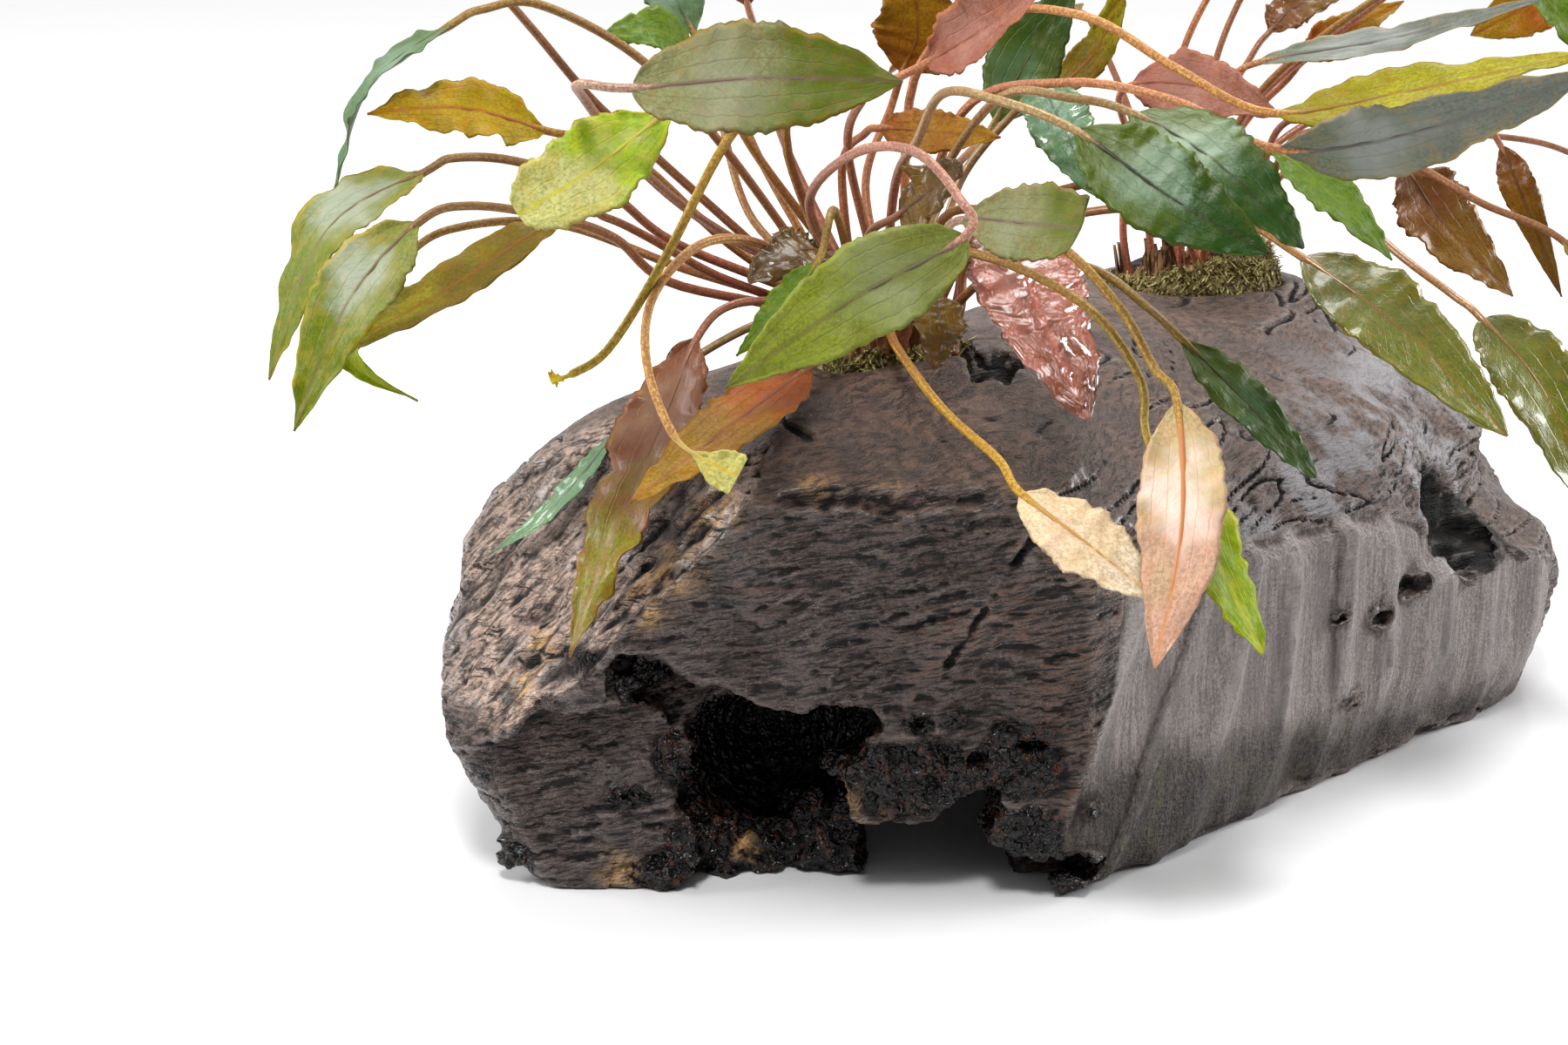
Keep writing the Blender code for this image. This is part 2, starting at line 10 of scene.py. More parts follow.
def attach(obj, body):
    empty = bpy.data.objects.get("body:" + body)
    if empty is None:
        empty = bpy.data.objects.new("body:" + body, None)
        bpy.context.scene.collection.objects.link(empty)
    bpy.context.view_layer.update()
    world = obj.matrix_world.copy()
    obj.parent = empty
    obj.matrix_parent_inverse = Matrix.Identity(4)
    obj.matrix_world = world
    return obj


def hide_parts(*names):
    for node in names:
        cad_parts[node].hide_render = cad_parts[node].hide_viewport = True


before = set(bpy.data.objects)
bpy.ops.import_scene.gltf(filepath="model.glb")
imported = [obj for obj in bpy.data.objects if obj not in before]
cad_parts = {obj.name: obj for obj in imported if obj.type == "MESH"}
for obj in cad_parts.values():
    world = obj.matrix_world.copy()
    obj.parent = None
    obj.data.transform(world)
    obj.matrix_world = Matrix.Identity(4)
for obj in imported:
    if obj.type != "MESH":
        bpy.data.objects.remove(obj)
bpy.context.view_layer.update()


# The studio. The plant stands on a wide sheet of white plastic, under a wide window of soft light that is
# a little behind it, with a soft box at each side and a small one in front and above. The camera looks
# down at it by 18 degrees.
MM = 0.001
# The tables are in millimetres from the log's front left foot, and this point becomes the origin.
MIDDLE = Vector((57, 96, 0))
CAMERA_SPOT = (0, -418, 205.3)
CAMERA_DIPS = 18
SHEET_HALF = 6


def place(point):
    return (Vector(point) - MIDDLE) * MM


def show(name, data):
    """Puts a mesh, a light or a camera into the scene as an object of that name."""
    thing = bpy.data.objects.new(name, data)
    scene.collection.objects.link(thing)
    return thing


scene = bpy.context.scene
lens = bpy.data.cameras.new("camera")
lens.lens = 60
lens.sensor_width = 36
lens.clip_start = 0.01
camera = show("camera", lens)
camera.location = place(CAMERA_SPOT)
camera.rotation_euler = (math.radians(90 - CAMERA_DIPS), 0, 0)
scene.camera = camera
scene.view_settings.view_transform = "Standard"


class Tone:
    """One socket of the finish that is being mixed, so that masks and colours can be written as sums."""

    tree = None

    def __init__(self, socket):
        self.socket = socket

    @staticmethod
    def node(kind, settings=None, inputs=None, output=0):
        """Adds a node, gives it its settings and what its sockets take, and returns one of its outputs."""
        made = Tone.tree.nodes.new("ShaderNode" + kind)
        for key, value in (settings or {}).items():
            setattr(made, key, value)
        for key, value in (inputs or {}).items():
            if isinstance(value, Tone):
                Tone.tree.links.new(value.socket, made.inputs[key])
            else:
                made.inputs[key].default_value = value
        return Tone(made.outputs[output])

    def maths(self, operation, *others):
        return Tone.node("Math", {"operation": operation}, dict(enumerate((self, *others))))

    def __add__(self, other):
        return self.maths("ADD", other)

    __radd__ = __add__

    def __mul__(self, other):
        return self.maths("MULTIPLY", other)

    __rmul__ = __mul__

    def __sub__(self, other):
        return self.maths("SUBTRACT", other)

    def __rsub__(self, other):
        return Tone.node("Math", {"operation": "SUBTRACT"}, {0: other, 1: self})

    def __abs__(self):
        return self.maths("ABSOLUTE")

    def most(self, other):
        return self.maths("MAXIMUM", other)

    def ease(self, low, high):
        """Eases from 0 where this is at low to 1 where it is at high."""
        ends = {"Value": self, "From Min": low, "From Max": high}
        return Tone.node("MapRange", {"interpolation_type": "SMOOTHSTEP"}, ends)

    def tint(self, off, on):
        """The colour off where this mask is 0, and the colour on where it is 1."""
        ends = {0: self}
        for key, colour in ((6, off), (7, on)):
            ends[key] = colour if isinstance(colour, Tone) else (*colour, 1)
        return Tone.node("Mix", {"data_type": "RGBA"}, ends, 2)

    def parts(self):
        """The three numbers of a vector."""
        split = Tone.node("SeparateXYZ", None, {0: self})
        return [Tone(socket) for socket in split.socket.node.outputs]

    def scaled(self, amount):
        return Tone.node("VectorMath", {"operation": "SCALE"}, {0: self, "Scale": amount})

    def grainy(self, scale, detail=3, roughness=0.55, twist=0):
        """Noise from 0 to 1 at this place, with that many features to a unit."""
        values = {"Scale": scale, "Detail": detail, "Roughness": roughness, "Distortion": twist}
        return Tone.node("TexNoise", None, {"Vector": self, **values})

    def feed(self, shader, key):
        Tone.tree.links.new(self.socket, shader.inputs[key])


def vector(x, y, z):
    return Tone.node("CombineXYZ", None, {0: x, 1: y, 2: z})


world = bpy.data.worlds.new("studio air")
world.use_nodes = True
Tone.tree = world.node_tree
air = world.node_tree.nodes["Background"]
air.inputs["Color"].default_value = (1, 1, 1, 1)
depth, height = Tone.node("TexCoord", None, None, "Generated").parts()[1:]
(0.16 + 0.60 * depth.ease(-0.30, 0.7).most(height.ease(0.45, 0.95))).feed(air, "Strength")
scene.world = world


def new_light(kind, name, spot, aim, energy, **settings):
    data = bpy.data.lights.new(name, kind)
    data.energy = energy
    for key, value in settings.items():
        setattr(data, key, value)
    light = show(name, data)
    light.location = spot
    light.rotation_euler = (Vector(aim) - Vector(spot)).to_track_quat("-Z", "Y").to_euler()


new_light("SUN", "soft window above", (0.10, 0.62, 1.1), (0, 0, 0), 2.4, angle=math.radians(34))
new_light("AREA", "soft box in front", (-0.15, -0.55, 1.0), (0, 0, 0.06), 9, size=0.22)
new_light("AREA", "soft box at the right", (1.1, 0.25, 0.45), (0.05, 0, 0.05), 12, size=0.5)
new_light("AREA", "soft box at the left", (-1.0, -0.05, 0.55), (0, 0, 0.05), 11, size=0.5)

sheet = bpy.data.meshes.new("white sheet")
corners = [(x * SHEET_HALF, y * SHEET_HALF, 0) for x, y in ((-1, -1), (1, -1), (1, 1), (-1, 1))]
sheet.from_pydata(corners, [], [(0, 1, 2, 3)])
floor = show("white_sheet", sheet)
floor.location.z = -0.2 * MM
plastic = bpy.data.materials.new("white plastic")
plastic.use_nodes = True
plastic_shader = plastic.node_tree.nodes["Principled BSDF"]
plastic_shader.inputs["Base Color"].default_value = (0.74, 0.74, 0.75, 1)
plastic_shader.inputs["Roughness"].default_value = 0.20
sheet.materials.append(plastic)


# The driftwood. A waterlogged hollow log of dark tropical wood, sawn across at the front, hewn flat
# along its right side and rotted open underneath. It is one piece of wood, and everything else sits
# in two pockets cut into its top.

# Where the sawn front is broken away, as outlines to the right and up, between two depths: the rotten
# opening and the arch beside it, the lower left block, which lies further back, and the split under
# the front's upper edge.
FRONT_BREAKS = (
    (
        (
            (-29, 47), (-22, 45), (-16, 41.5), (-10, 40), (-4, 36.5), (3, 36), (9, 38), (14, 37), (18, 33),
            (13, 29), (8, 25), (6.5, 21), (10, 17), (14, 15), (23, 14.5), (30, 19.5), (37, 23), (38, 18),
            (34.5, 9), (41, 5), (46, 5), (47.5, 0), (47.5, -8), (-19.5, -8), (-19.5, 8), (-18, 21),
            (-21, 33), (-30, 39),
        ), -10, 9,
    ),
    (
        (
            (-64, 27), (-50, 29), (-43, 34), (-33, 36), (-25, 37.5), (-18, 38), (-17, 20), (-18.5, 0),
            (-18.5, -8), (-64, -8),
        ), -10, 3,
    ),
    (
        (
            (-6, 79.5), (3, 77.2), (11, 76.6), (18, 75.4), (28, 75), (36, 74.6), (36, 73.4), (28, 72.6),
            (17, 71.2), (9, 72.6), (3, 72.2), (-4, 74.5),
        ), -10, 0,
    ),
)
# Hollows that show only as detail: the middle, the half sizes, and the turn about the vertical.
ROT_HOLES = (
    ((-4, 8, 28), (12, 11, 8), 0),
    ((-20, 4, 40), (5, 5, 4), 20),
    ((9, 4, 34), (8, 7, 3.6), 0),
    ((20, 14, 8), (7, 16, 9), 0),
    ((-27, 1, 18), (4.2, 4, 1.4), 5),
    ((29, -3, 35), (1.3, 3, 1.0), 0),
    ((23, -3, 34), (1.8, 3, 1.2), 0),
    ((42, -3, 30), (3.4, 3, 1.0), 0),
    ((33, -4, 27), (2.0, 3, 1.2), 0),
    ((54, 0, 17), (1.8, 3, 0.6), -20),
    ((50, -1, 6), (7, 8, 2.6), 0),
    ((-34, 3, 50), (3.4, 2.6, 0.9), -30),
    ((-22, 5, 60), (4.6, 2.6, 0.8), -40),
    ((-12, 7, 69), (3.6, 2.6, 0.8), -40),
    ((39, 56, 84), (6.5, 19, 10), 0),
    ((106, 44, 36), (1.2, 2.0, 0.9), 40),
    ((110, 48, 18), (2.8, 1.6, 0.9), 40),
    ((115, 53, 33), (3.6, 2.0, 1.6), 40),
    ((122, 60, 37), (6, 3.0, 1.8), 40),
    ((134, 82, 43), (14, 10, 11), 42),
)
# Lumps of rotten wood left standing: the middle, the half sizes, and the turn about the vertical.
ROT_LUMPS = (
    ((19, 3, 22), (8, 5.5, 4.5), 0),
    ((11, 4, 24), (4.5, 4.5, 3), 0),
    ((30, 2, 24), (7, 5, 3.5), 0),
    ((39, 2, 12), (4.5, 4.5, 3.2), -25),
    ((44, 2, 16), (6, 4, 5), -15),
    ((-12, 12, 5), (6, 5, 6.5), 0),
    ((-4, 14, 4), (5, 5, 6), 0),
    ((5, 15, 6), (7, 6, 8), 0),
    ((-23, 4, 43), (3.5, 3, 3.5), 0),
    ((-34, 1, 44), (4.0, 3.0, 2.6), -20),
    ((-27, 2, 40), (3.6, 2.6, 2.2), -10),
    ((-51, 8, 24), (3.4, 4, 5), 0),
    ((-19, 4, 25), (3.4, 4, 5), 10),
    ((-18, 6, 8), (4.0, 4.5, 6), -15),
    ((-22, 4, 3), (5.0, 3.5, 3), 0),
    ((-47, 8, 6), (4.5, 4, 4), 0),
    ((51, 2, 2.6), (4.5, 4, 2.8), 0),
)
ROT_ROUGHNESS = 0.45
# The flat faces, as in the CAD model: sawn across the front and above it, split off the left corner and
# hewn along the right. Each is a point on it and the way it faces.
LOG_FACES = {
    "front": ((15, -3, 55), (0, -1, 0)),
    "above": ((15, -1, 76), (0.03, -0.22, 0.975)),
    "split": ((-7, -3, 72), (-0.634, -0.481, 0.605)),
    "hewn": ((59, 3, 0), (0.662, -0.750, 0)),
}
# Near its faces the skin is swollen by this much before it is trimmed to them, which keeps their edges.
# Elsewhere it makes up for what the smoothing wore away.
SWELLING = 2.3
WORN_AWAY = 0.3
# A broken outline has a point at every step of this length, in millimetres.
SPLINTER_STEP = 1.1
# The sizes of the even meshes that the log passes through: smoothed, trimmed, with its lumps, its holes
# and as it is kept.
WORN_VOXEL = 1.5 * MM
SAWN_VOXEL = 1.0 * MM
LUMPY_VOXEL = 0.8 * MM
HOLE_VOXEL = 0.45 * MM
KEPT_VOXEL = 0.68 * MM
LOG_TRIANGLES = 196000
# The broken outlines come out the same each time.
noise.seed_set(5)


def slab(outline, near, far):
    """A block with a ragged outline, to be taken out of the front."""
    points = []
    for (x, z), (next_x, next_z) in zip(outline, outline[1:] + outline[:1]):
        steps = max(1, round(math.hypot(next_x - x, next_z - z) / SPLINTER_STEP))
        for step in range(steps):
            spot = Vector((x + (next_x - x) * step / steps, 0, z + (next_z - z) * step / steps))
            broad = noise.noise_vector(spot / 3.1)
            points.append(spot + broad + 0.5 * noise.noise_vector(spot / 1.3))
    count = len(points)
    verts = [place((spot.x, depth, spot.z)) for depth in (near, far) for spot in points]
    faces = [(i, (i + 1) % count, count + (i + 1) % count, count + i) for i in range(count)]
    faces.extend([tuple(range(count - 1, -1, -1)), tuple(range(count, 2 * count))])
    mesh = bpy.data.meshes.new("slab")
    mesh.from_pydata(verts, [], faces)
    return show("slab", mesh)


def lump(middle, halves, turn):
    """A ragged ball of rotten wood, or of the space where it was, stretched to its half sizes."""
    bm = bmesh.new()
    bmesh.ops.create_icosphere(bm, subdivisions=4, radius=1)
    for vert in bm.verts:
        seed = vert.co * 1.6 + Vector(middle)
        vert.co *= 1 + ROT_ROUGHNESS * noise.fractal(seed, 0.7, 2.2, 4)
    bmesh.ops.scale(bm, verts=bm.verts, vec=Vector(halves) * MM)
    bmesh.ops.rotate(bm, verts=bm.verts, matrix=Matrix.Rotation(math.radians(turn), 3, "Z"))
    bmesh.ops.translate(bm, verts=bm.verts, vec=place(middle))
    mesh = bpy.data.meshes.new("lump")
    bm.to_mesh(mesh)
    bm.free()
    return show("lump", mesh)


def settle(thing):
    """Bakes an object's modifiers into its mesh."""
    bpy.context.view_layer.update()
    seen = thing.evaluated_get(bpy.context.evaluated_depsgraph_get())
    mesh = bpy.data.meshes.new_from_object(seen)
    thing.modifiers.clear()
    thing.data = mesh


def merge(things):
    """Puts the meshes of several objects into the first one's."""
    bm = bmesh.new()
    for thing in things:
        bm.from_mesh(thing.data)
    bm.to_mesh(things[0].data)
    bm.free()
    for thing in things[1:]:
        bpy.data.objects.remove(thing, do_unlink=True)


def even_skin(thing, size):
    modifier = thing.modifiers.new("even skin", "REMESH")
    modifier.mode = "VOXEL"
    modifier.voxel_size = size
    settle(thing)


def cut_out(thing, tools):
    for tool in tools:
        modifier = thing.modifiers.new("cut", "BOOLEAN")
        modifier.operation = "DIFFERENCE"
        modifier.object = tool
    settle(thing)
    for tool in tools:
        bpy.data.objects.remove(tool, do_unlink=True)


def rows_of(items, key):
    """One vector for each of a mesh's items, as the rows of an array."""
    values = np.empty(len(items) * 3)
    items.foreach_get(key, values)
    return values.reshape(-1, 3)


def table_places(mesh):
    """Every vertex's place in the millimetres of the tables."""
    return rows_of(mesh.vertices, "co") / MM + np.array(MIDDLE)


def move_to(mesh, spots):
    mesh.vertices.foreach_set("co", ((spots - np.array(MIDDLE)) * MM).ravel())
    mesh.update()


def between(values, low, high):
    """Eases from 0 at low to 1 at high."""
    share = np.clip((values - low) / (high - low), 0, 1)
    return share * share * (3 - 2 * share)


def carve_log():
    """The log's form, from the CAD solid: smoothed, with its rotten lumps and holes, on an even fine mesh."""
    log = show("driftwood_log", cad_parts["driftwood"].data.copy())
    bm = bmesh.new()
    bm.from_mesh(log.data)
    bmesh.ops.remove_doubles(bm, verts=bm.verts, dist=0.01 * MM)
    bm.to_mesh(log.data)
    bm.free()
    even_skin(log, WORN_VOXEL)
    worn = log.modifiers.new("worn", "SMOOTH")
    worn.factor = 0.5
    worn.iterations = 5
    settle(log)
    spots = table_places(log.data)
    gaps = [(np.array(on_face) - spots) @ np.array(outward) for on_face, outward in LOG_FACES.values()]
    near_face = between(np.min(np.abs(gaps), axis=0), 6, 1.5)
    spots += rows_of(log.data.vertex_normals, "vector") * (WORN_AWAY + SWELLING * near_face)[:, None]
    for on_face, outward in LOG_FACES.values():
        proud = np.maximum(0, (spots - on_face) @ np.array(outward))
        spots -= np.outer(proud, outward)
    move_to(log.data, spots)
    even_skin(log, SAWN_VOXEL)
    cut_out(log, [slab(*row) for row in FRONT_BREAKS])
    merge([log] + [lump(*row) for row in ROT_LUMPS])
    even_skin(log, LUMPY_VOXEL)
    holes = [lump(*row) for row in ROT_HOLES]
    merge(holes)
    even_skin(holes[0], HOLE_VOXEL)
    cut_out(log, holes[:1])
    even_skin(log, KEPT_VOXEL)
    return log


def cloud(spots, size, seed=0):
    """Smooth noise from -1 to 1 over the points, with features of that size in millimetres."""
    scaled = np.asarray(spots) / np.asarray(size) + seed
    return np.array([noise.noise(point) for point in scaled.tolist()])


def ragged(spots, size, seed=0, octaves=4):
    """Rough noise of several sizes over the points."""
    scaled = np.asarray(spots) / np.asarray(size) + seed
    return np.array([noise.fractal(point, 0.8, 2.1, octaves) for point in scaled.tolist()])


def near_line(spots, points):
    """Each point's distance in millimetres from a line through the given points."""
    nearest = np.full(len(spots), 1e9)
    for start, end in zip(points, points[1:]):
        start = np.array(start, float)
        run = np.array(end, float) - start
        share = np.clip((spots - start) @ run / (run @ run), 0, 1)
        gap = np.linalg.norm(spots - start - share[:, None] * run, axis=1)
        nearest = np.minimum(nearest, gap)
    return nearest


def keep(mesh, name, values):
    """Keeps three numbers at every vertex under a name, for the finish."""
    kept_values = mesh.attributes.new(name, "FLOAT_VECTOR", "POINT").data
    kept_values.foreach_set("vector", np.column_stack(values).ravel())


# The hewn side, as a line on the floor, with how far along it each ridge between two gouges stands, how
# deep the gouge before it is and how much higher its far side is left than its near side, and the
# height of the side's upper edge at some of those places. The gouges end at HEWN_LENGTH, and at the
# near end they lean to the left by GOUGE_LEAN for every millimetre up.
HEWN_START = np.array((58, 4, 0.0))
HEWN_END = np.array((160, 94, 0.0))
HEWN_LENGTH = 143
GOUGE_LEAN = 0.55
GOUGES = (
    (-26, 0, 0), (-4, 1.3, 1.2), (15, 1.5, -1.9), (19, 0.3, 0.5), (33, 1.4, 1.6), (41, 0.8, -1.2),
    (47, 0.5, 1.2), (62, 1.3, -1.8), (65, 0.2, 0.5), (76, 0.8, -0.9), (79, 0.2, 0.5), (91, 1.1, -1.0),
    (97, 0.4, 0.7), (109, 0.9, -1.2), (113, 0.3, 0.5), (124, 1.0, -0.9), (129, 0.4, 0.9), (137, 0.5, -0.9),
    (150, 0.8, 0.9),
)
HEWN_EDGE = ((0, 62), (32, 61), (74, 59), (88, 57), (92, 47), (107, 42), (136, 33))
# Where the front's boundary with the hewn side lies along it, from the floor up.
HEWN_NEAR_EDGE = ((0, -15), (8, -12), (20, -10), (40, -2), (60, 0))
# The crest that parts the sawn front from the split left side: its height and how far right it lies.
CREST = ((30, -49), (46, -31), (52, -27), (56, -23), (62, -16), (70, -8.5), (76, -4), (84, -2))
# Cracks: the points they pass, how wide they are and how deep.
CRACKS = (
    (((27, -3, 74), (36, -3, 74.5), (45, -2, 72)), 0.9, 0.8),
    (((42, -3, 68), (36, -3, 58), (31, -3, 50), (28, -3, 45)), 0.5, 1.2),
    (((40, -3, 65), (37, -3, 60), (34, -3, 55)), 0.5, 1.0),
    (((-51, 11, 44), (-46, 9, 41), (-41, 7, 42), (-38, 5, 45)), 0.9, 2.2),
    (((-49, 8, 33), (-44, 6, 36), (-38, 3, 37)), 0.8, 1.8),
    (((-53, 14, 52), (-48, 12, 49), (-43, 9, 50)), 0.7, 1.2),
    (((46, -3, 60), (54, 0, 62), (58, 3, 63)), 0.6, 0.6),
    (((38, 10, 80), (47, 24, 80), (52, 40, 81)), 0.8, 0.8),
    (((-8, 12, 79), (-20, 10, 66), (-33, 8, 56), (-43, 12, 47)), 1.0, 1.4),
    (((-52, 20, 52), (-44, 14, 58), (-36, 14, 64)), 0.9, 1.0),
    (((0, 44, 84), (4, 36, 83), (12, 34, 82)), 0.7, 0.6),
    (((24, 14, 80), (30, 16, 80), (36, 15, 80)), 0.7, 0.9),
    (((30, 22, 81), (37, 24, 81)), 0.7, 0.9),
    (((84, 110, 83), (95, 92, 74), (108, 84, 66)), 1.0, 1.0),
    (((-58, 40, 30), (-60, 50, 44), (-48, 70, 60)), 0.9, 1.2),
    (((20, 140, 62), (40, 168, 60), (70, 196, 56)), 1.0, 1.4),
    (((-30, 98, 40), (0, 130, 30), (24, 158, 34)), 1.0, 1.3),
)
# Places where the wood is ochre and sound: the middle and the reach.
OCHRE = (
    ((-43, 8, 44), 6), ((-46, 7, 36), 6), ((-12, 2, 69), 8), ((-19, 1, 61), 8), ((-24, 0, 55), 6),
    ((14, 2, 17), 7), ((26, 3, 18), 6), ((-7, 10, 5), 4), ((-30, 2, 3), 6), ((6, -2, 79), 7),
    ((18, -3, 78), 6),
)
# Places painted black as shade, in the hollows and recesses: the middle and the half sizes.
PAINTED_SHADE_PLACES = (
    ((136, 81, 43), (19, 17, 14)), ((39, 56, 78), (7.5, 20, 9)), ((44, 0, 8), (11, 9, 8)),
    ((94, 200, 74), (30, 14, 12)),
)
# Places where the front is soft with rot: the middle and the half sizes.
SOFT = (
    ((24, 0, 23), (18, 9, 9)), ((41, 0, 27), (10, 9, 9)), ((41, 0, 12), (10, 9, 8)),
    ((-23, 2, 41), (7, 9, 7)), ((-4, 8, 4), (18, 9, 12)),
)
# The two pockets: the middle of each at its rim, and its reach.
POCKET_PLACES = {"front": ((18, 68, 82), 19), "back": ((92, 170, 72), 21)}


def shares_of(spots, middle, halves, more=0):
    """How far out each point is from a middle, where 1 is at its half sizes and a little more."""
    return np.linalg.norm((spots - np.array(middle)) / (np.array(halves) + more), axis=1)


def sides_of(spots, wander):
    """How much each point belongs to the hewn side, the split side and the rotten hollows."""
    x, y, z = spots.T
    gaps = {name: (spots - on_face) @ outward for name, (on_face, outward) in LOG_FACES.items()}
    run = (HEWN_END - HEWN_START) / np.linalg.norm(HEWN_END - HEWN_START)
    along = (spots - HEWN_START) @ run
    # The gouges lean over to the left toward the front and stand upright further back.
    lean = along - GOUGE_LEAN * between(along, 60, 8) * (z - 36) + 0.7 * cloud(spots, 24, 6)
    ridges, depths, tilts = np.array(GOUGES).T
    right = np.clip(np.searchsorted(ridges, lean), 1, len(ridges) - 1)
    phase = np.clip((lean - ridges[right - 1]) / (ridges[right] - ridges[right - 1]), 0, 1)
    gouge = -depths[right] * 4 * phase * (1 - phase) + tilts[right] * (phase - 0.5)
    edge = np.interp(along, *zip(*HEWN_EDGE)) - 3 * (2 * phase - 1) ** 2
    near_edge = np.interp(z, *zip(*HEWN_NEAR_EDGE))
    hewn = between(gaps["hewn"], -5, -3.5) * between(edge - z + wander, -0.5, 0.5)
    hewn *= between(along - near_edge + 0.7 * wander, -0.4, 0.4)
    hewn *= between(HEWN_LENGTH - along + wander, -0.5, 0.5)
    crest = np.interp(z, *zip(*CREST))
    split = between(crest - x + wander * 1.2, -0.4, 0.4) * between(z + wander, 30, 33)
    split *= between(y, 62, 40) * between(gaps["split"], -9, -5)
    # Rot is what lies round the front's lumps and holes, and the soft places between them.
    low_front = (z < 47) & (y < 40)
    rot = np.zeros(len(spots))
    for middle, halves, _ in ROT_LUMPS + ROT_HOLES:
        rot = np.maximum(rot, between(shares_of(spots, middle, halves, 1.0), 1.12, 0.9) * low_front)
    for middle, halves in SOFT:
        rot = np.maximum(rot, between(shares_of(spots, middle, halves) + 0.25 * wander, 1.05, 0.85))
    for middle, halves, _ in ROT_HOLES:
        hewn *= 1 - between(shares_of(spots, middle, halves, 0.8), 1.1, 0.9)
    # So are the walls of the opening and of the arch beside it.
    opening = between(np.hypot((x + 1) / 19, (z - 20) / 19), 1.05, 0.85) * between(y, 60, 50)
    arch = between(np.hypot((x - 25) / 19, z / 28), 1.0, 0.9)
    rot = np.maximum(rot, np.maximum(opening, arch) * between(y, 0, 3))
    return hewn, split, rot, gouge, gaps


# How much the sheets of the grain rise for every millimetre to the right.
GRAIN_RISE = 0.17
# How far each kind of mark moves the skin, in millimetres.
SHINGLES = 0.38
CREASES = 0.42
ROUGHNESS = 0.35
CHECKS = 1.4
PEBBLES = 0.09
# Over how many rounds of neighbours a hollow is measured.
NEIGHBOUR_ROUNDS = 3


def hollowness(mesh, spots, normals):
    """How far each point lies below the middle of its neighbours, in millimetres."""
    ends = np.empty(len(mesh.edges) * 2, int)
    mesh.edges.foreach_get("vertices", ends)
    ends = ends.reshape(-1, 2)
    # Every edge is taken both ways, so that each point meets all its neighbours.
    point, neighbour = np.concatenate((ends, ends[:, ::-1])).T
    count = np.bincount(point, minlength=len(spots))
    middle = spots
    for _ in range(NEIGHBOUR_ROUNDS):
        total = [np.bincount(point, middle[neighbour, axis], len(spots)) for axis in range(3)]
        middle = np.column_stack(total) / count[:, None]
    return ((middle - spots) * normals).sum(axis=1)


def stains_and_painted_light(spots, normals, wander, hewn):
    """How much each point shows painted sheen, ochre stain and black, where the black is painted shade."""
    x, y, z = spots.T
    # Painted sheen: a pale wash on the upward faces toward the top right, standing for the window's
    # reflection on the wet wood.
    painted_sheen = between(0.8 * x - 0.35 * y + 9 * cloud(spots, 9, 8), 42, 66) * between(z + 3 * wander, 42, 52)
    painted_sheen *= (1 - hewn) * between(normals[:, 2], 0.0, 0.5)
    ochre = np.zeros(len(spots))
    for middle, reach in OCHRE:
        ochre = np.maximum(ochre, between(shares_of(spots, middle, reach), 1, 0.4))
    # Painted shade: black at the places of the table of shaded places.
    black = np.zeros(len(spots))
    for middle, halves in PAINTED_SHADE_PLACES:
        black = np.maximum(black, between(shares_of(spots, middle, halves) + 0.15 * wander, 1.1, 0.8))
    return painted_sheen, ochre, black * (1 - between(hewn, 0.3, 0.8))


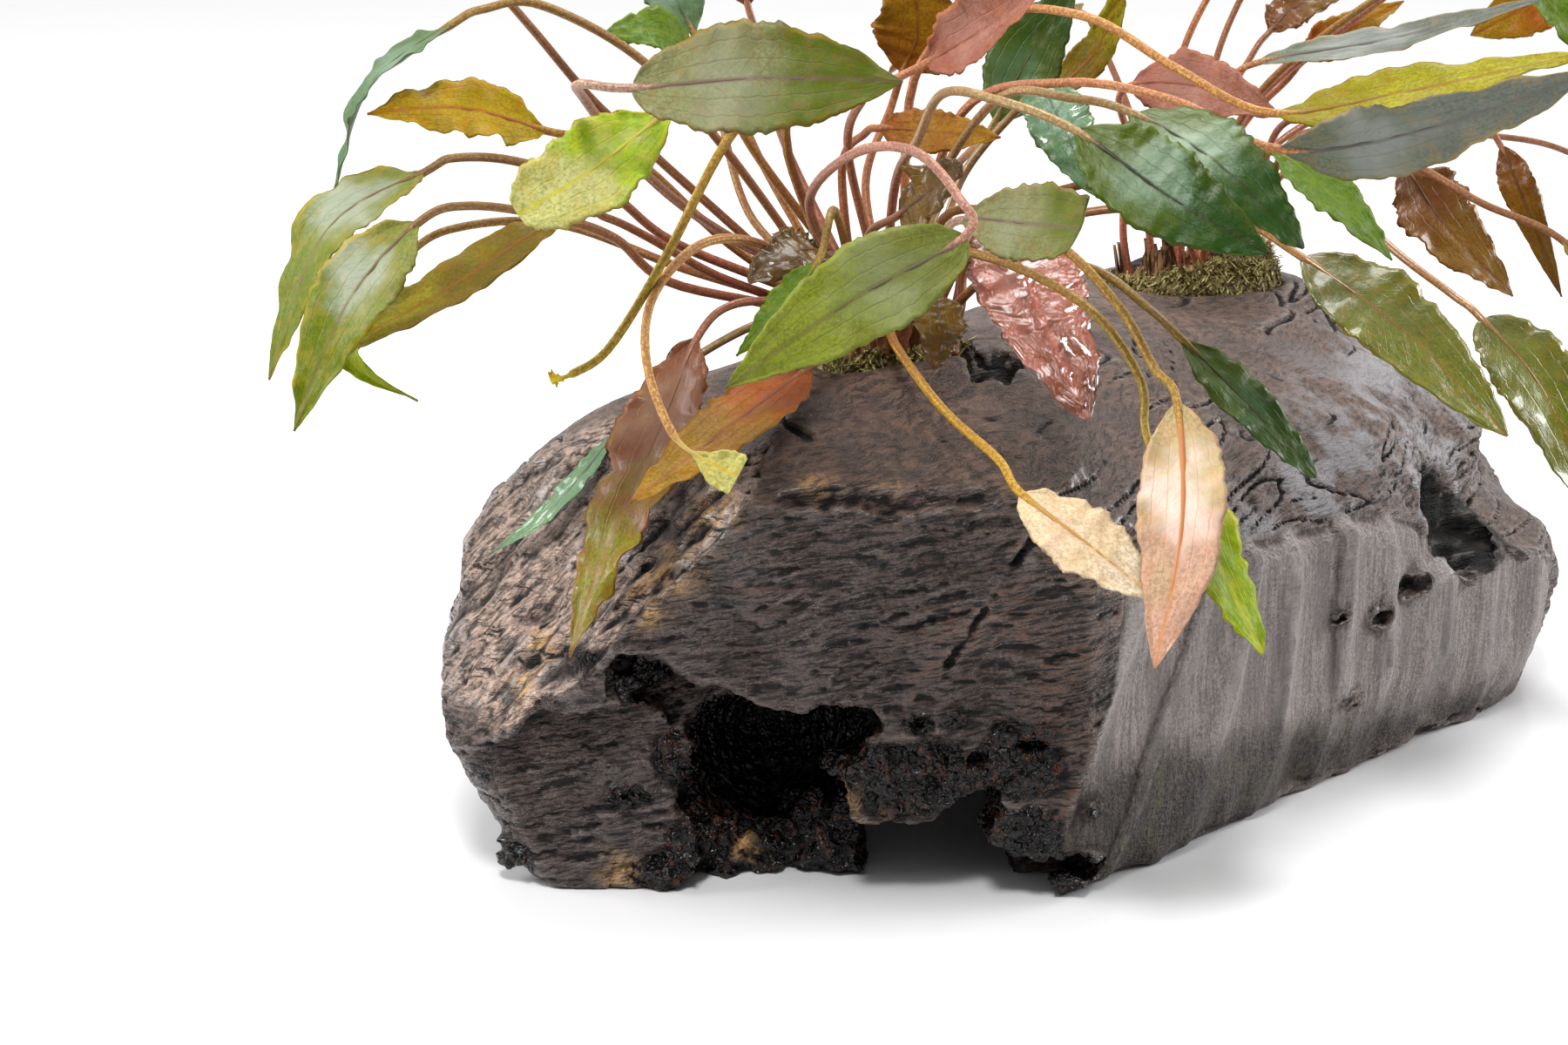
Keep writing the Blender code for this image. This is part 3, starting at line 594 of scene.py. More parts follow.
def weather_log(log):
    """Moves the skin by what the saw, the adze and the water left, and keeps where each of them shows."""
    mesh = log.data
    spots = table_places(mesh)
    normals = rows_of(mesh.vertex_normals, "vector").copy()
    x, y, z = spots.T
    wander = cloud(spots, 7)
    hewn, split, rot, gouge, gaps = sides_of(spots, wander)
    front = between(np.minimum(np.abs(gaps["front"]), np.abs(y - 3)), 2.0, 0.8)
    front *= between(-normals[:, 1], 0.6, 0.85) * (1 - hewn)
    up = between(normals[:, 2], 0.5, 0.85)
    inside = between(rot * between(y, 9, 22), 0.2, 0.8)

    # The grain lies in sheets that rise a little to the right and wrap round the front pocket.
    sheet = z - GRAIN_RISE * x + 4 * cloud(spots, 34, 5) + 0.08 * np.hypot(x - 18, y - 68)
    dashes = cloud(np.column_stack((x / 7, y / 7, sheet / 1.5)), 1)
    small_dashes = cloud(np.column_stack((x / 3.6, y / 3.6, sheet / 0.95)), 1, 3)
    creases = between(dashes, -0.28, -0.46) + 0.7 * between(small_dashes, -0.25, -0.5)
    layers = sheet / 3.2 + 1.5 * cloud(np.column_stack((x / 18, y / 18, sheet / 10)), 1, 11)
    shingle = (layers % 1 - 0.5) * between(cloud(spots, (14, 14, 7), 13), -0.3, 0.3)
    rough = ragged(spots, 12, 2)
    fibre = np.column_stack((x * 0.38 - z * 0.25, y * 0.4 + x * 0.1, (z + x * 0.6) * 0.09))
    splinter = cloud(fibre, 1, 4)
    crumbs = ragged(spots, 3.4, 7)

    plain = (1 - hewn) * (1 - split) * (1 - rot)
    calm = 1 - 0.80 * up
    move = plain * calm * SHINGLES * shingle
    move += plain * (1 - 0.75 * front) * ROUGHNESS * rough
    move -= plain * calm * CREASES * creases
    side = plain * (1 - front) * (1 - up)
    move += side * (0.45 * splinter + 0.18 * crumbs + 0.9 * cloud(spots, 17, 23))
    # Long checks follow the grain where the wood has shrunk.
    run = cloud(np.column_stack((x / 26, y / 26, sheet / 3.4)), 1, 17)
    checks = between(np.abs(run), 0.055, 0.01) * between(cloud(spots, 30, 19), -0.1, 0.2) * (1 - front)
    move -= plain * CHECKS * checks
    move += split * (-0.4 + 0.7 * rough + 1.0 * splinter + 0.3 * crumbs)
    move += rot * (1 - hewn) * (1 - split) * (1.0 * rough + 1.4 * crumbs - 0.3) * (1 - 0.6 * inside)
    # Cracks open and close along their length.
    open_wide = between(cloud(spots, 5, 21), -0.45, 0.25)
    for points, reach, depth in CRACKS:
        gap = near_line(spots, points) + 0.6 * wander + 0.5 * crumbs
        move -= depth * open_wide * np.exp(-((gap / reach) ** 2)) * (1 - hewn)

    # Low down, the long gouges of the adze give way to chips.
    chip = np.array([noise.voronoi(point)[0][0] for point in (spots / (17, 17, 20) + 4).tolist()])
    low_down = between(z, 24, 12)
    move += hewn * (gouge * (1 - 0.5 * low_down) + low_down * (2.0 * chip - 1.1) - 0.7)
    move += hewn * PEBBLES * cloud(spots, 1.5)
    spots += normals * move[:, None]
    spots[:, 2] = np.maximum(spots[:, 2], 0)
    # The floors of the pockets stay down, under the moss.
    for middle, reach in POCKET_PLACES.values():
        inner = (np.hypot(x - middle[0], y - middle[1]) < reach - 2) & (z > 50)
        spots[inner, 2] = np.minimum(z[inner], middle[2] - 6)

    hollow = hollowness(mesh, spots, normals)
    move_to(mesh, spots)
    painted_sheen, ochre, black = stains_and_painted_light(spots, normals, wander, hewn)
    ochre *= between(splinter + 0.6 * crumbs, -0.35, 0.15)
    # Painted shade: the further the skin was pushed in, the darker it is painted.
    deep = np.clip(-move / 1.8, 0, 1) * (1 - hewn)
    keep(mesh, "zones", (hewn, split, rot))
    keep(mesh, "tones", (painted_sheen * (1 - black), ochre, np.maximum(deep, black)))
    keep(mesh, "relief", (hollow, gouge, inside))
    mesh.update()


log = carve_log()
weather_log(log)
thinner = log.modifiers.new("fewer faces", "DECIMATE")
thinner.ratio = min(1, LOG_TRIANGLES / sum(len(face.vertices) - 2 for face in log.data.polygons))
settle(log)
log.data.materials.clear()
log.data.shade_smooth()


def kept(name):
    """The three numbers that a mesh keeps under that name at each point."""
    settings = {"attribute_name": name, "attribute_type": "GEOMETRY"}
    return Tone.node("Attribute", settings, None, "Vector").parts()


def here():
    """The place on the piece, in millimetres."""
    return Tone.node("TexCoord", None, None, "Object").scaled(1000)


def new_finish(name, constants):
    """A Principled material with the given constant values, and the shader's node to link the rest to."""
    finish = bpy.data.materials.new(name)
    finish.use_nodes = True
    Tone.tree = finish.node_tree
    shader = finish.node_tree.nodes["Principled BSDF"]
    for key, value in constants.items():
        shader.inputs[key].default_value = value
    return finish, shader


def bumped(height, distance, strength=1.0, under=None):
    """The normal of a surface that rises by distance, in metres, as height goes from 0 to 1."""
    values = {"Height": height, "Distance": distance, "Strength": strength}
    if under is not None:
        values["Normal"] = under
    return Tone.node("Bump", None, values)


def wood_finish():
    """All the log's woods, each where the mesh keeps that it shows."""
    finish, shader = new_finish("wet driftwood", {"Specular IOR Level": 0.32, "Coat Roughness": 0.20})
    spot = here()
    x, y, z = spot.parts()
    hewn, split, rot = kept("zones")
    # The kept tones: painted sheen, ochre, and painted shade in the pushed-in and black places.
    painted_sheen, ochre, deep = kept("tones")
    hollow, gouge, inside = kept("relief")
    blotch = spot.grainy(0.07, 4, 0.6)
    speck = spot.grainy(1.6, 3, 0.65)
    crumbly = spot.grainy(0.6, 4, 0.7)
    lumps = spot.grainy(0.55, 2, 0.5, 0.6)
    # The same sheets of grain that the mesh has, with finer dashes in them.
    sheet = z - x * GRAIN_RISE + blotch * 4
    lines = vector(x * 0.15, y * 0.15, sheet * 0.9).grainy(1.0, 4, 0.6, 0.2)
    hairs = vector(x * 0.30, y * 0.30, sheet * 2.2).grainy(1.0, 3, 0.6, 0.2)
    dashes = lines.ease(0.42, 0.35).most(hairs.ease(0.43, 0.34) * 0.75)
    up = Tone.node("NewGeometry", None, None, "Normal").parts()[2].ease(0.40, 0.85)

    # Sawn and worn wood: charcoal where it faces the room, brown on top.
    body = (speck * 0.4 + hairs * 0.6).ease(0.38, 0.60)
    body = body.tint((0.010, 0.006, 0.005), (0.086, 0.054, 0.045))
    brown = (blotch + x * 0.0028).ease(0.42, 0.54) * hairs.ease(0.38, 0.58)
    body = (brown * 0.85).tint(body, (0.130, 0.054, 0.026))
    top = hairs.ease(0.35, 0.65).tint((0.034, 0.019, 0.013), (0.125, 0.072, 0.048))
    top = (blotch.ease(0.48, 0.62) * 0.5).tint(top, (0.050, 0.036, 0.031))
    body = up.tint(body, top)
    # Painted sheen: the top toward the right turns pale grey, as the reflection of the window on the wet
    # wood.
    painted_top_sheen = painted_sheen * (blotch * 0.7 + spot.grainy(0.25, 3) * 0.3).ease(0.40, 0.56)
    body = (painted_top_sheen * 0.80).tint(body, (0.29, 0.28, 0.295))

    # The adze left the right side grey and pebbled. Painted light makes each gouge paler where its face
    # stands higher.
    scratch = vector(x * 1.1, y * 1.1, z * 0.12).grainy(1.0, 3, 0.65)
    pebble = (speck * 0.45 + scratch * 0.55).ease(0.36, 0.64)
    grey = pebble.tint((0.165, 0.136, 0.127), (0.370, 0.318, 0.302))
    # Painted light: paler where the gouge's face stands higher.
    grey = (gouge.ease(-0.6, 0.5) * 0.60).tint(grey, (0.430, 0.395, 0.385))
    stain = vector(x * 0.16, y * 0.16, z * 0.03).grainy(1.0, 3).ease(0.50, 0.64) * 0.6
    grey = stain.tint(grey, (0.150, 0.134, 0.130))
    # Darker towards the base.
    toward_base = (z + y * 0.25 + blotch * 18 + 14).ease(31, 19)
    base_grey = pebble.tint((0.020, 0.015, 0.013), (0.084, 0.066, 0.060))
    grey = (toward_base * 0.95).tint(grey, base_grey)
    grey = (abs(blotch - 0.5).ease(0.02, 0.0) * toward_base * 0.5).tint(grey, (0.120, 0.120, 0.050))
    body = hewn.tint(body, grey)

    # Split wood is torn into brown fibres, and rotten wood is black with a red-brown shine.
    fibres = vector(x * 0.75 - z * 0.5, y * 0.8 + x * 0.2, (z + x * 0.6) * 0.10).grainy(1.1, 4, 0.65)
    torn = fibres.ease(0.34, 0.62).tint((0.046, 0.029, 0.021), (0.560, 0.400, 0.320))
    torn = (blotch.ease(0.48, 0.60) * 0.5).tint(torn, (0.170, 0.135, 0.122))
    body = split.tint(body, torn)
    rotten = crumbly.ease(0.50, 0.66).tint((0.0015, 0.001, 0.001), (0.058, 0.019, 0.009))
    # Painted shade: deep inside the hollows the rot is painted near black.
    rotten = inside.tint(rotten, (0.004, 0.003, 0.003))
    body = (rot * (1 - hewn)).tint(body, rotten)
    sound = fibres.ease(0.35, 0.60).tint((0.130, 0.058, 0.018), (0.620, 0.360, 0.140))
    body = (ochre * 0.9).tint(body, sound)

    # Painted shade darkens every crevice, hollow and crease of the grain, and the pushed-in and black places;
    # convex edges are paler.
    marks = dashes * (1 - hewn) * (1 - up * 0.9) * (1 - rot)
    dark = hollow.ease(0.02, 0.20).most(marks).most(deep.ease(0.3, 0.8))
    body = (dark * (1 - hewn * 0.6)).tint(body, (0.006, 0.0045, 0.004))
    # Convex edges, which stand above their neighbours, are paler.
    body = (hollow.ease(-0.06, -0.28) * (1 - rot) * 0.45).tint(body, (0.22, 0.185, 0.165))
    body.feed(shader, "Base Color")

    gloss = 0.34 - 0.16 * speck.ease(0.4, 0.6) + 0.28 * hewn + 0.14 * up + 0.10 * painted_sheen
    (gloss + dark * 0.35 * (1 - rot) - rot * 0.16).feed(shader, "Roughness")
    wetness = (blotch + speck * 0.5).ease(0.62, 0.90) * (1 - hewn) * (1 - painted_sheen) * (1 - up) * (1 - dark)
    (wetness * (1 - rot) * 0.5).feed(shader, "Coat Weight")
    fine = (hairs * 0.95 + speck * 0.45) * (1 - rot * 0.8) - marks * 1.2
    fine = fine + rot * lumps * 2.2 + split * (crumbly * 1.3 + fibres) + hewn * (speck * 0.2 + scratch * 0.4)
    bumped(fine, 0.0013, 1.0).feed(shader, "Normal")
    return finish


log.data.materials.append(wood_finish())
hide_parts("driftwood")
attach(log, "root")


# The moss. Java moss packed round each plant's crown in its pocket: a felt of thin yellow-olive
# stems with short side leaves, browner where it is old. Nothing holds it but its own tangle.
CROWN_REACH = 15


class Pocket(NamedTuple):
    middle: tuple
    reach: float
    # How far the moss rises over the rim, and the bearing and depth of a place where it is missing.
    moss_height: float
    gap_bearing: float
    gap_depth: float
    # The bearing on which it is heaped highest.
    heap_bearing: float


POCKETS = {
    "front": Pocket(*POCKET_PLACES["front"], 2.0, -8, 11, 200),
    "back": Pocket(*POCKET_PLACES["back"], 4.6, 120, 3, -30),
}
MOSS_STEMS = 9000
MOSS_JOINTS = 5
PAD_TURNS = 110
PAD_ROWS = 28


def join_rings(turns, rows):
    """The faces between closed rings of points that follow one another."""
    faces = []
    for low in range(0, turns * (rows - 1), turns):
        high = low + turns
        for i in range(turns):
            j = (i + 1) % turns
            faces.append((low + i, high + i, high + j, low + j))
    return faces


def moss_pad(side, pocket):
    """A lumpy ring of old moss, with the green stems growing out of it."""
    centre = Vector(pocket.middle)
    dice = np.random.default_rng(len(side) * 7)
    verts = []
    faces = join_rings(PAD_TURNS, PAD_ROWS)
    tones = []
    inner = CROWN_REACH - 2.5
    outer = pocket.reach + 1.2
    for row in range(PAD_ROWS):
        share = row / (PAD_ROWS - 1)
        radius = inner + (outer - inner) * share
        for i in range(PAD_TURNS):
            angle = math.tau * i / PAD_TURNS
            spot = centre + Vector((math.cos(angle), math.sin(angle), 0)) * radius
            off_gap = abs((math.degrees(angle) - pocket.gap_bearing + 180) % 360 - 180)
            missing = max(0, 1 - (off_gap / 34) ** 2)
            swell = math.sin(math.pi * min(1, 0.12 + share * 0.9)) ** 0.7
            knots = noise.fractal(spot / 3.4, 0.8, 2.2, 4) + 0.9 * noise.noise(spot / 7)
            heap = 1.3 + 1.2 * math.cos(angle - math.radians(pocket.heap_bearing))
            rise = pocket.moss_height * heap + 2.6 * knots
            spot.z += -1.6 + rise * swell - pocket.gap_depth * missing
            verts.append(place(spot))
            tones.append((0.35 + 0.3 * noise.noise(spot / 5), 0, 0))
    pad = len(verts)
    for _ in range(MOSS_STEMS):
        root = verts[int(dice.integers(PAD_TURNS, pad))].copy()
        away = root - place(centre)
        away.z = 0
        way = Vector(dice.normal(0, 0.75, 3)) + away.normalized() * 0.35 + Vector((0, 0, 0.35))
        way.normalize()
        bend = Vector(dice.normal(0, 0.6, 3)) + Vector((0, 0, -0.6))
        length = float(dice.uniform(0.9, 2.9)) * MM
        wide = float(dice.uniform(0.14, 0.34)) * MM
        tone = float(dice.uniform(0.15, 1.0))
        start = len(verts)
        for joint in range(MOSS_JOINTS):
            share = joint / (MOSS_JOINTS - 1)
            spot = root + way * length * share + bend * length * 0.5 * share * share
            side_way = way.cross(Vector((0.3, 0.2, 1))).normalized()
            half = wide * (1 + 0.9 * (joint % 2)) * (1 - share * 0.75)
            verts.append(spot + side_way * half)
            verts.append(spot - side_way * half)
            tones.extend([(tone, share, 1)] * 2)
        for joint in range(MOSS_JOINTS - 1):
            a = start + 2 * joint
            faces.append((a, a + 1, a + 3, a + 2))
    mesh = bpy.data.meshes.new(f"moss {side}")
    mesh.from_pydata(verts, [], faces)
    keep(mesh, "moss", np.array(tones).T)
    mesh.shade_smooth()
    return show(f"moss_{side}_stems", mesh)


def moss_finish():
    """Yellow-olive stems over a browner felt."""
    finish, shader = new_finish("java moss", {"Roughness": 0.6})
    tone, share, stem = kept("moss")
    spot = here()
    mottle = spot.grainy(0.3, 3)
    green = share.tint((0.240, 0.190, 0.055), (0.520, 0.450, 0.160))
    colour = (tone + mottle - 0.5).ease(0.0, 0.5).tint((0.120, 0.074, 0.030), green)
    colour = (spot.grainy(0.5, 2).ease(0.56, 0.68) * 0.6).tint(colour, (0.030, 0.022, 0.011))
    colour.feed(shader, "Base Color")
    bumped(spot.grainy(2.5, 3), 0.0006).feed(shader, "Normal")
    return finish


java_moss = moss_finish()
for side, pocket in POCKETS.items():
    moss = moss_pad(side, pocket)
    moss.data.materials.append(java_moss)
    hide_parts(f"moss_{side}")
    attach(moss, "root")


# The crowns. Each plant's rootstock is a short dark brown stub, ribbed by the scars of old leaves,
# with papery sheaths round the feet of the stalks. It is bedded in the moss.
SHEATHS = 60
SHEATH_STEPS = 4
CROWN_TURNS = 120
CROWN_ROWS = 30


def crown(side, pocket):
    """A ribbed dome, and the papery sheaths that stand on it."""
    centre = Vector(pocket.middle)
    dice = np.random.default_rng(11 + len(side))
    verts = []
    faces = join_rings(CROWN_TURNS, CROWN_ROWS)
    for row in range(CROWN_ROWS):
        share = row / (CROWN_ROWS - 1)
        for i in range(CROWN_TURNS):
            angle = math.tau * i / CROWN_TURNS
            rib = 1 + 0.04 * math.sin(angle * 23 + 3 * math.sin(row)) * min(1, share * 2)
            radius = (CROWN_REACH - 0.4) * math.sin(min(1.0, 0.12 + share) * math.pi / 2) * rib
            spot = centre + Vector((math.cos(angle), math.sin(angle), 0)) * radius
            lift = 1.2 * noise.fractal(spot / 2.6, 0.8, 2.2, 3)
            spot.z += -0.6 + 3.4 * math.cos(share * math.pi / 2) ** 0.8 - 9 * max(0, share - 0.75) + lift
            verts.append(place(spot))
    top = len(verts)
    verts.append(place(centre + Vector((0, 0, 3))))
    faces.extend((top, i, (i + 1) % CROWN_TURNS) for i in range(CROWN_TURNS))
    for _ in range(SHEATHS):
        angle = float(dice.uniform(0, math.tau))
        radius = float(dice.uniform(2, CROWN_REACH))
        away = Vector((math.cos(angle), math.sin(angle), 0))
        across = Vector((-away.y, away.x, 0))
        root = centre + away * radius + Vector((0, 0, -1.2 + 2.4 * (1 - radius / CROWN_REACH)))
        tall = float(dice.uniform(3.0, 11.0))
        wide = float(dice.uniform(1.0, 2.1))
        start = len(verts)
        for step in range(SHEATH_STEPS + 1):
            share = step / SHEATH_STEPS
            half = wide * (1 - share**1.8) + 0.08
            centre_line = root + away * (0.16 * share * tall) + Vector((0, 0, tall * share))
            for lateral in (-1, 0, 1):
                verts.append(place(centre_line + across * half * lateral + away * (0.7 * (1 - abs(lateral)))))
        for step in range(SHEATH_STEPS):
            for j in range(2):
                a = start + step * 3 + j
                faces.append((a, a + 1, a + 4, a + 3))
    mesh = bpy.data.meshes.new(f"crown {side}")
    mesh.from_pydata(verts, [], faces)
    mesh.shade_smooth()
    return show(f"rootstock_{side}", mesh)


def rootstock_finish():
    """Brown fibres that run up the stub and its sheaths."""
    finish, shader = new_finish("brown rootstock", {"Roughness": 0.5, "Specular IOR Level": 0.12})
    spot = here()
    x, y, z = spot.parts()
    fibre = vector(x * 1.2, y * 1.2, z * 0.18).grainy(1.0, 4, 0.6)
    colour = fibre.ease(0.38, 0.66).tint((0.030, 0.013, 0.006), (0.300, 0.160, 0.075))
    colour = (spot.grainy(0.3, 2).ease(0.48, 0.65) * 0.8).tint(colour, (0.040, 0.018, 0.010))
    colour.feed(shader, "Base Color")
    bumped(fibre, 0.0008).feed(shader, "Normal")
    return finish


rootstock = rootstock_finish()
for side, pocket in POCKETS.items():
    stub = crown(side, pocket)
    stub.data.materials.append(rootstock)
    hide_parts(f"crown_{side}")
    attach(stub, "root")


# The leaves. Each is one grown piece: a round juicy stalk, rose at its foot and olive at its top, that
# runs on as the midrib of a thin lance-shaped blade. It grows out of the crown at its foot.
STALK_RADIUS = 0.95
# The share by which a stalk is thinner at its top, and how much thicker it is at its very foot.
STALK_TAPER = 0.25
FOOT_SWELL = 0.9
# Half the thickness of a blade by its midrib, and close to its edge.
HALF_THICK = 0.24
EDGE_THICK = 0.08
# A leaf's foot is sunk in the crown by this much, and leaves it steeply for the next few millimetres.
FOOT_SUNK = 1.5
SPROUT = 7
STALK_RINGS = 44
BLADE_RINGS = 72
ROUND = 10
ACROSS = 16


class Shape(NamedTuple):
    """What sets a blade's shape apart."""

    peak: float = 0.75      # below 1 the blade is widest before its middle
    foot: float = 1.35      # above 1 its foot is drawn out to the stalk
    tip: float = 1.1        # above 1 its tip is drawn out, and well below 1 it is blunt
    cup: float = 0.12       # how far its edges stand above its midrib, as a share of half its width
    wave: float = 0.9       # how far its edges ripple, in millimetres
    crisp: float = 0.28     # how far they are crisped
    uneven: float = 0.05    # how uneven its outline is, as a share of half its width
    twist: float = 0        # how far it turns from foot to tip, in degrees
    kept: float = 1         # the share of its length that is left, where its end is cut off
    rib: float = 0.6        # how thick its midrib is
    blister: float = 0      # how far it is blistered between the veins, in millimetres


def on_curve(points, share):
    """The point at a share of the way along a smooth curve through all the points."""
    spans = len(points) - 1
    step = min(int(share * spans), spans - 1)
    t = share * spans - step
    a, b, c, d = (points[max(0, min(spans, step + i))] for i in (-1, 0, 1, 2))
    return 0.5 * (2 * b + (c - a) * t + (2 * a - 5 * b + 4 * c - d) * t**2 + (3 * b - a - 3 * c + d) * t**3)


def leaf_frames(route, shares, middle, face):
    """The place, way and upper side at each share along the route, carried without twisting."""
    spots = [on_curve(route, share) for share in shares]
    ways = []
    for share in shares:
        ahead = on_curve(route, min(1, share + 0.006))
        ways.append((ahead - on_curve(route, max(0, share - 0.006))).normalized())
    ups = [None] * len(shares)
    start = Vector(face)
    ups[middle] = (start - ways[middle] * start.dot(ways[middle])).normalized()
    for i in range(middle + 1, len(shares)):
        ups[i] = (ups[i - 1] - ways[i] * ups[i - 1].dot(ways[i])).normalized()
    for i in range(middle - 1, -1, -1):
        ups[i] = (ups[i + 1] - ways[i] * ups[i + 1].dot(ways[i])).normalized()
    return spots, ways, ups


def half_width(t, shape):
    """Half the blade's width at a share of its length, where 1 is its widest."""
    return max(0.0, math.sin(math.pi * t**shape.peak)) ** (shape.foot + (shape.tip - shape.foot) * t)


def grow_leaf(name, foot, row, shape):
    """The mesh of one leaf. It keeps where each point is on the leaf, for the finish."""
    distance, bearing, stalk, blade, width, face = row
    angle = math.radians(bearing)
    lean = Vector((math.cos(angle), math.sin(angle), 0))
    seat = foot + lean * distance - Vector((0, 0, FOOT_SUNK))
    sprout = seat + lean * distance * 0.12 + Vector((0, 0, SPROUT + FOOT_SUNK))
    route = [seat, sprout] + [Vector(point) for point in stalk + blade]
    neck = (len(route) - len(blade)) / (len(route) - 1)
    seed = sum(ord(letter) * (i + 3) for i, letter in enumerate(name)) % 97
    verts = []
    faces = []
    leaf = []
    part = []

    def skin(count):
        """Joins the last two rings of that many points each."""
        low = len(verts) - 2 * count
        high = len(verts) - count
        for i in range(count):
            j = (i + 1) % count
            faces.append((low + i, low + j, high + j, high + i))

    # The stalk, and its run along the blade as the midrib.
    rib_end = neck + (1 - neck) * shape.kept * 0.96
    shares = [neck * i / STALK_RINGS for i in range(STALK_RINGS)]
    shares += [neck + (rib_end - neck) * i / STALK_RINGS for i in range(STALK_RINGS + 1)]
    frames = leaf_frames(route, shares, STALK_RINGS + STALK_RINGS // 2, face)
    for i, (spot, way, up) in enumerate(zip(*frames)):
        on_blade = i > STALK_RINGS
        share = (i - STALK_RINGS) / STALK_RINGS if on_blade else i / STALK_RINGS
        radius = STALK_RADIUS * (1 - STALK_TAPER * share) + FOOT_SWELL * max(0, 1 - share * 7) ** 1.5
        if on_blade:
            radius = STALK_RADIUS * (1 - STALK_TAPER) * (shape.rib + (1 - shape.rib) * max(0, 1 - share * 6))
            radius = radius * (1 - share) ** 1.1 + EDGE_THICK
        side = way.cross(up)
        for j in range(ROUND):
            turn = math.tau * j / ROUND
            verts.append(place(spot + (side * math.cos(turn) + up * math.sin(turn)) * radius))
            leaf.append((share + on_blade, j / ROUND, radius))
            part.append((1 - 0.5 * min(1, share * 5) if on_blade else 1, 0, seed / 97))
        if i:
            skin(ROUND)
    faces.append(tuple(range(ROUND - 1, -1, -1)))
    faces.append(tuple(range(len(verts) - ROUND, len(verts))))

    # The blade, as a thin closed skin: its upper side from edge to edge, then its underside back.
    first = len(verts)
    blade_length = (1 - neck) * shape.kept
    shares = [neck + blade_length * (0.012 + 0.98 * i / BLADE_RINGS) for i in range(BLADE_RINGS + 1)]
    frames = leaf_frames(route, shares, int(BLADE_RINGS * min(1, 0.58 / shape.kept)), face)
    for i, (share, spot, way, up) in enumerate(zip(shares, *frames)):
        t = (share - neck) / (1 - neck)
        up = Matrix.Rotation(math.radians(shape.twist) * (t - 0.5), 3, way) @ up
        side = way.cross(up)
        half = max(0.25, width / 2 * half_width(t, shape))
        soft = min(1, half / 3)
        ring = []
        for j in range(2 * ACROSS):
            under = j > ACROSS
            across = (2 * ACROSS - j if under else j) / ACROSS * 2 - 1
            hand = 31 if across > 0 else 0
            edge = abs(across)
            reach = half * (1 + shape.uneven * noise.noise((t * 7, hand, seed)) * 1.6)
            reach *= 1 + shape.crisp * 0.30 * noise.fractal((t * 24, hand, seed + 9), 0.8, 2.2, 2)
            rise = shape.cup * edge**1.4 * half
            rise += shape.wave * edge**1.7 * noise.noise((t * 7 + hand + seed, edge, seed)) * soft * 1.6
            rise += shape.crisp * edge**3 * math.sin(t * 48 + 7 * noise.noise((t * 5, hand, seed))) * soft
            rise += (0.25 + shape.blister) * noise.noise((t * 14, across * 2.4, seed)) * (1 - edge**4) * soft
            thick = (HALF_THICK + (EDGE_THICK - HALF_THICK) * edge) * (-1 if under else 1)
            if j in (0, ACROSS):
                thick = 0
            ring.append(spot + side * across * reach + up * (rise + thick))
            leaf.append((t, across, across * half))
            part.append((0, 1 if under else 0, seed / 97))
        verts.extend(place(point) for point in ring)
        if i:
            skin(2 * ACROSS)
    faces.append(tuple(range(first + 2 * ACROSS - 1, first - 1, -1)))
    faces.append(tuple(range(len(verts) - 2 * ACROSS, len(verts))))

    mesh = bpy.data.meshes.new(name)
    mesh.from_pydata(verts, [], faces)
    keep(mesh, "leaf", np.array(leaf).T)
    keep(mesh, "part", np.array(part).T)
    bm = bmesh.new()
    bm.from_mesh(mesh)
    bmesh.ops.recalc_face_normals(bm, faces=bm.faces)
    bm.to_mesh(mesh)
    bm.free()
    mesh.shade_smooth()
    return show(name, mesh)


class Look(NamedTuple):
    """The tones of one kind of leaf."""

    neck: tuple                             # the blade by its stalk
    tip: tuple                              # the blade by its tip
    edge: tuple                             # its margin
    back: tuple                             # its underside
    rib: tuple                              # its midrib and veins
    stalk: tuple = (0.300, 0.180, 0.050)    # the top of its stalk
    film: tuple = (0.330, 0.360, 0.310)     # the pale tone of the painted sheen, a wash of reflected light
    painted_sheen_share: float = 0.0                     # how much of that painted sheen shows
    wet: float = 0.1                        # how wet it is
    bright: float = 0.84                    # how bright it is
    rich: float = 1.30                      # how rich its colours are


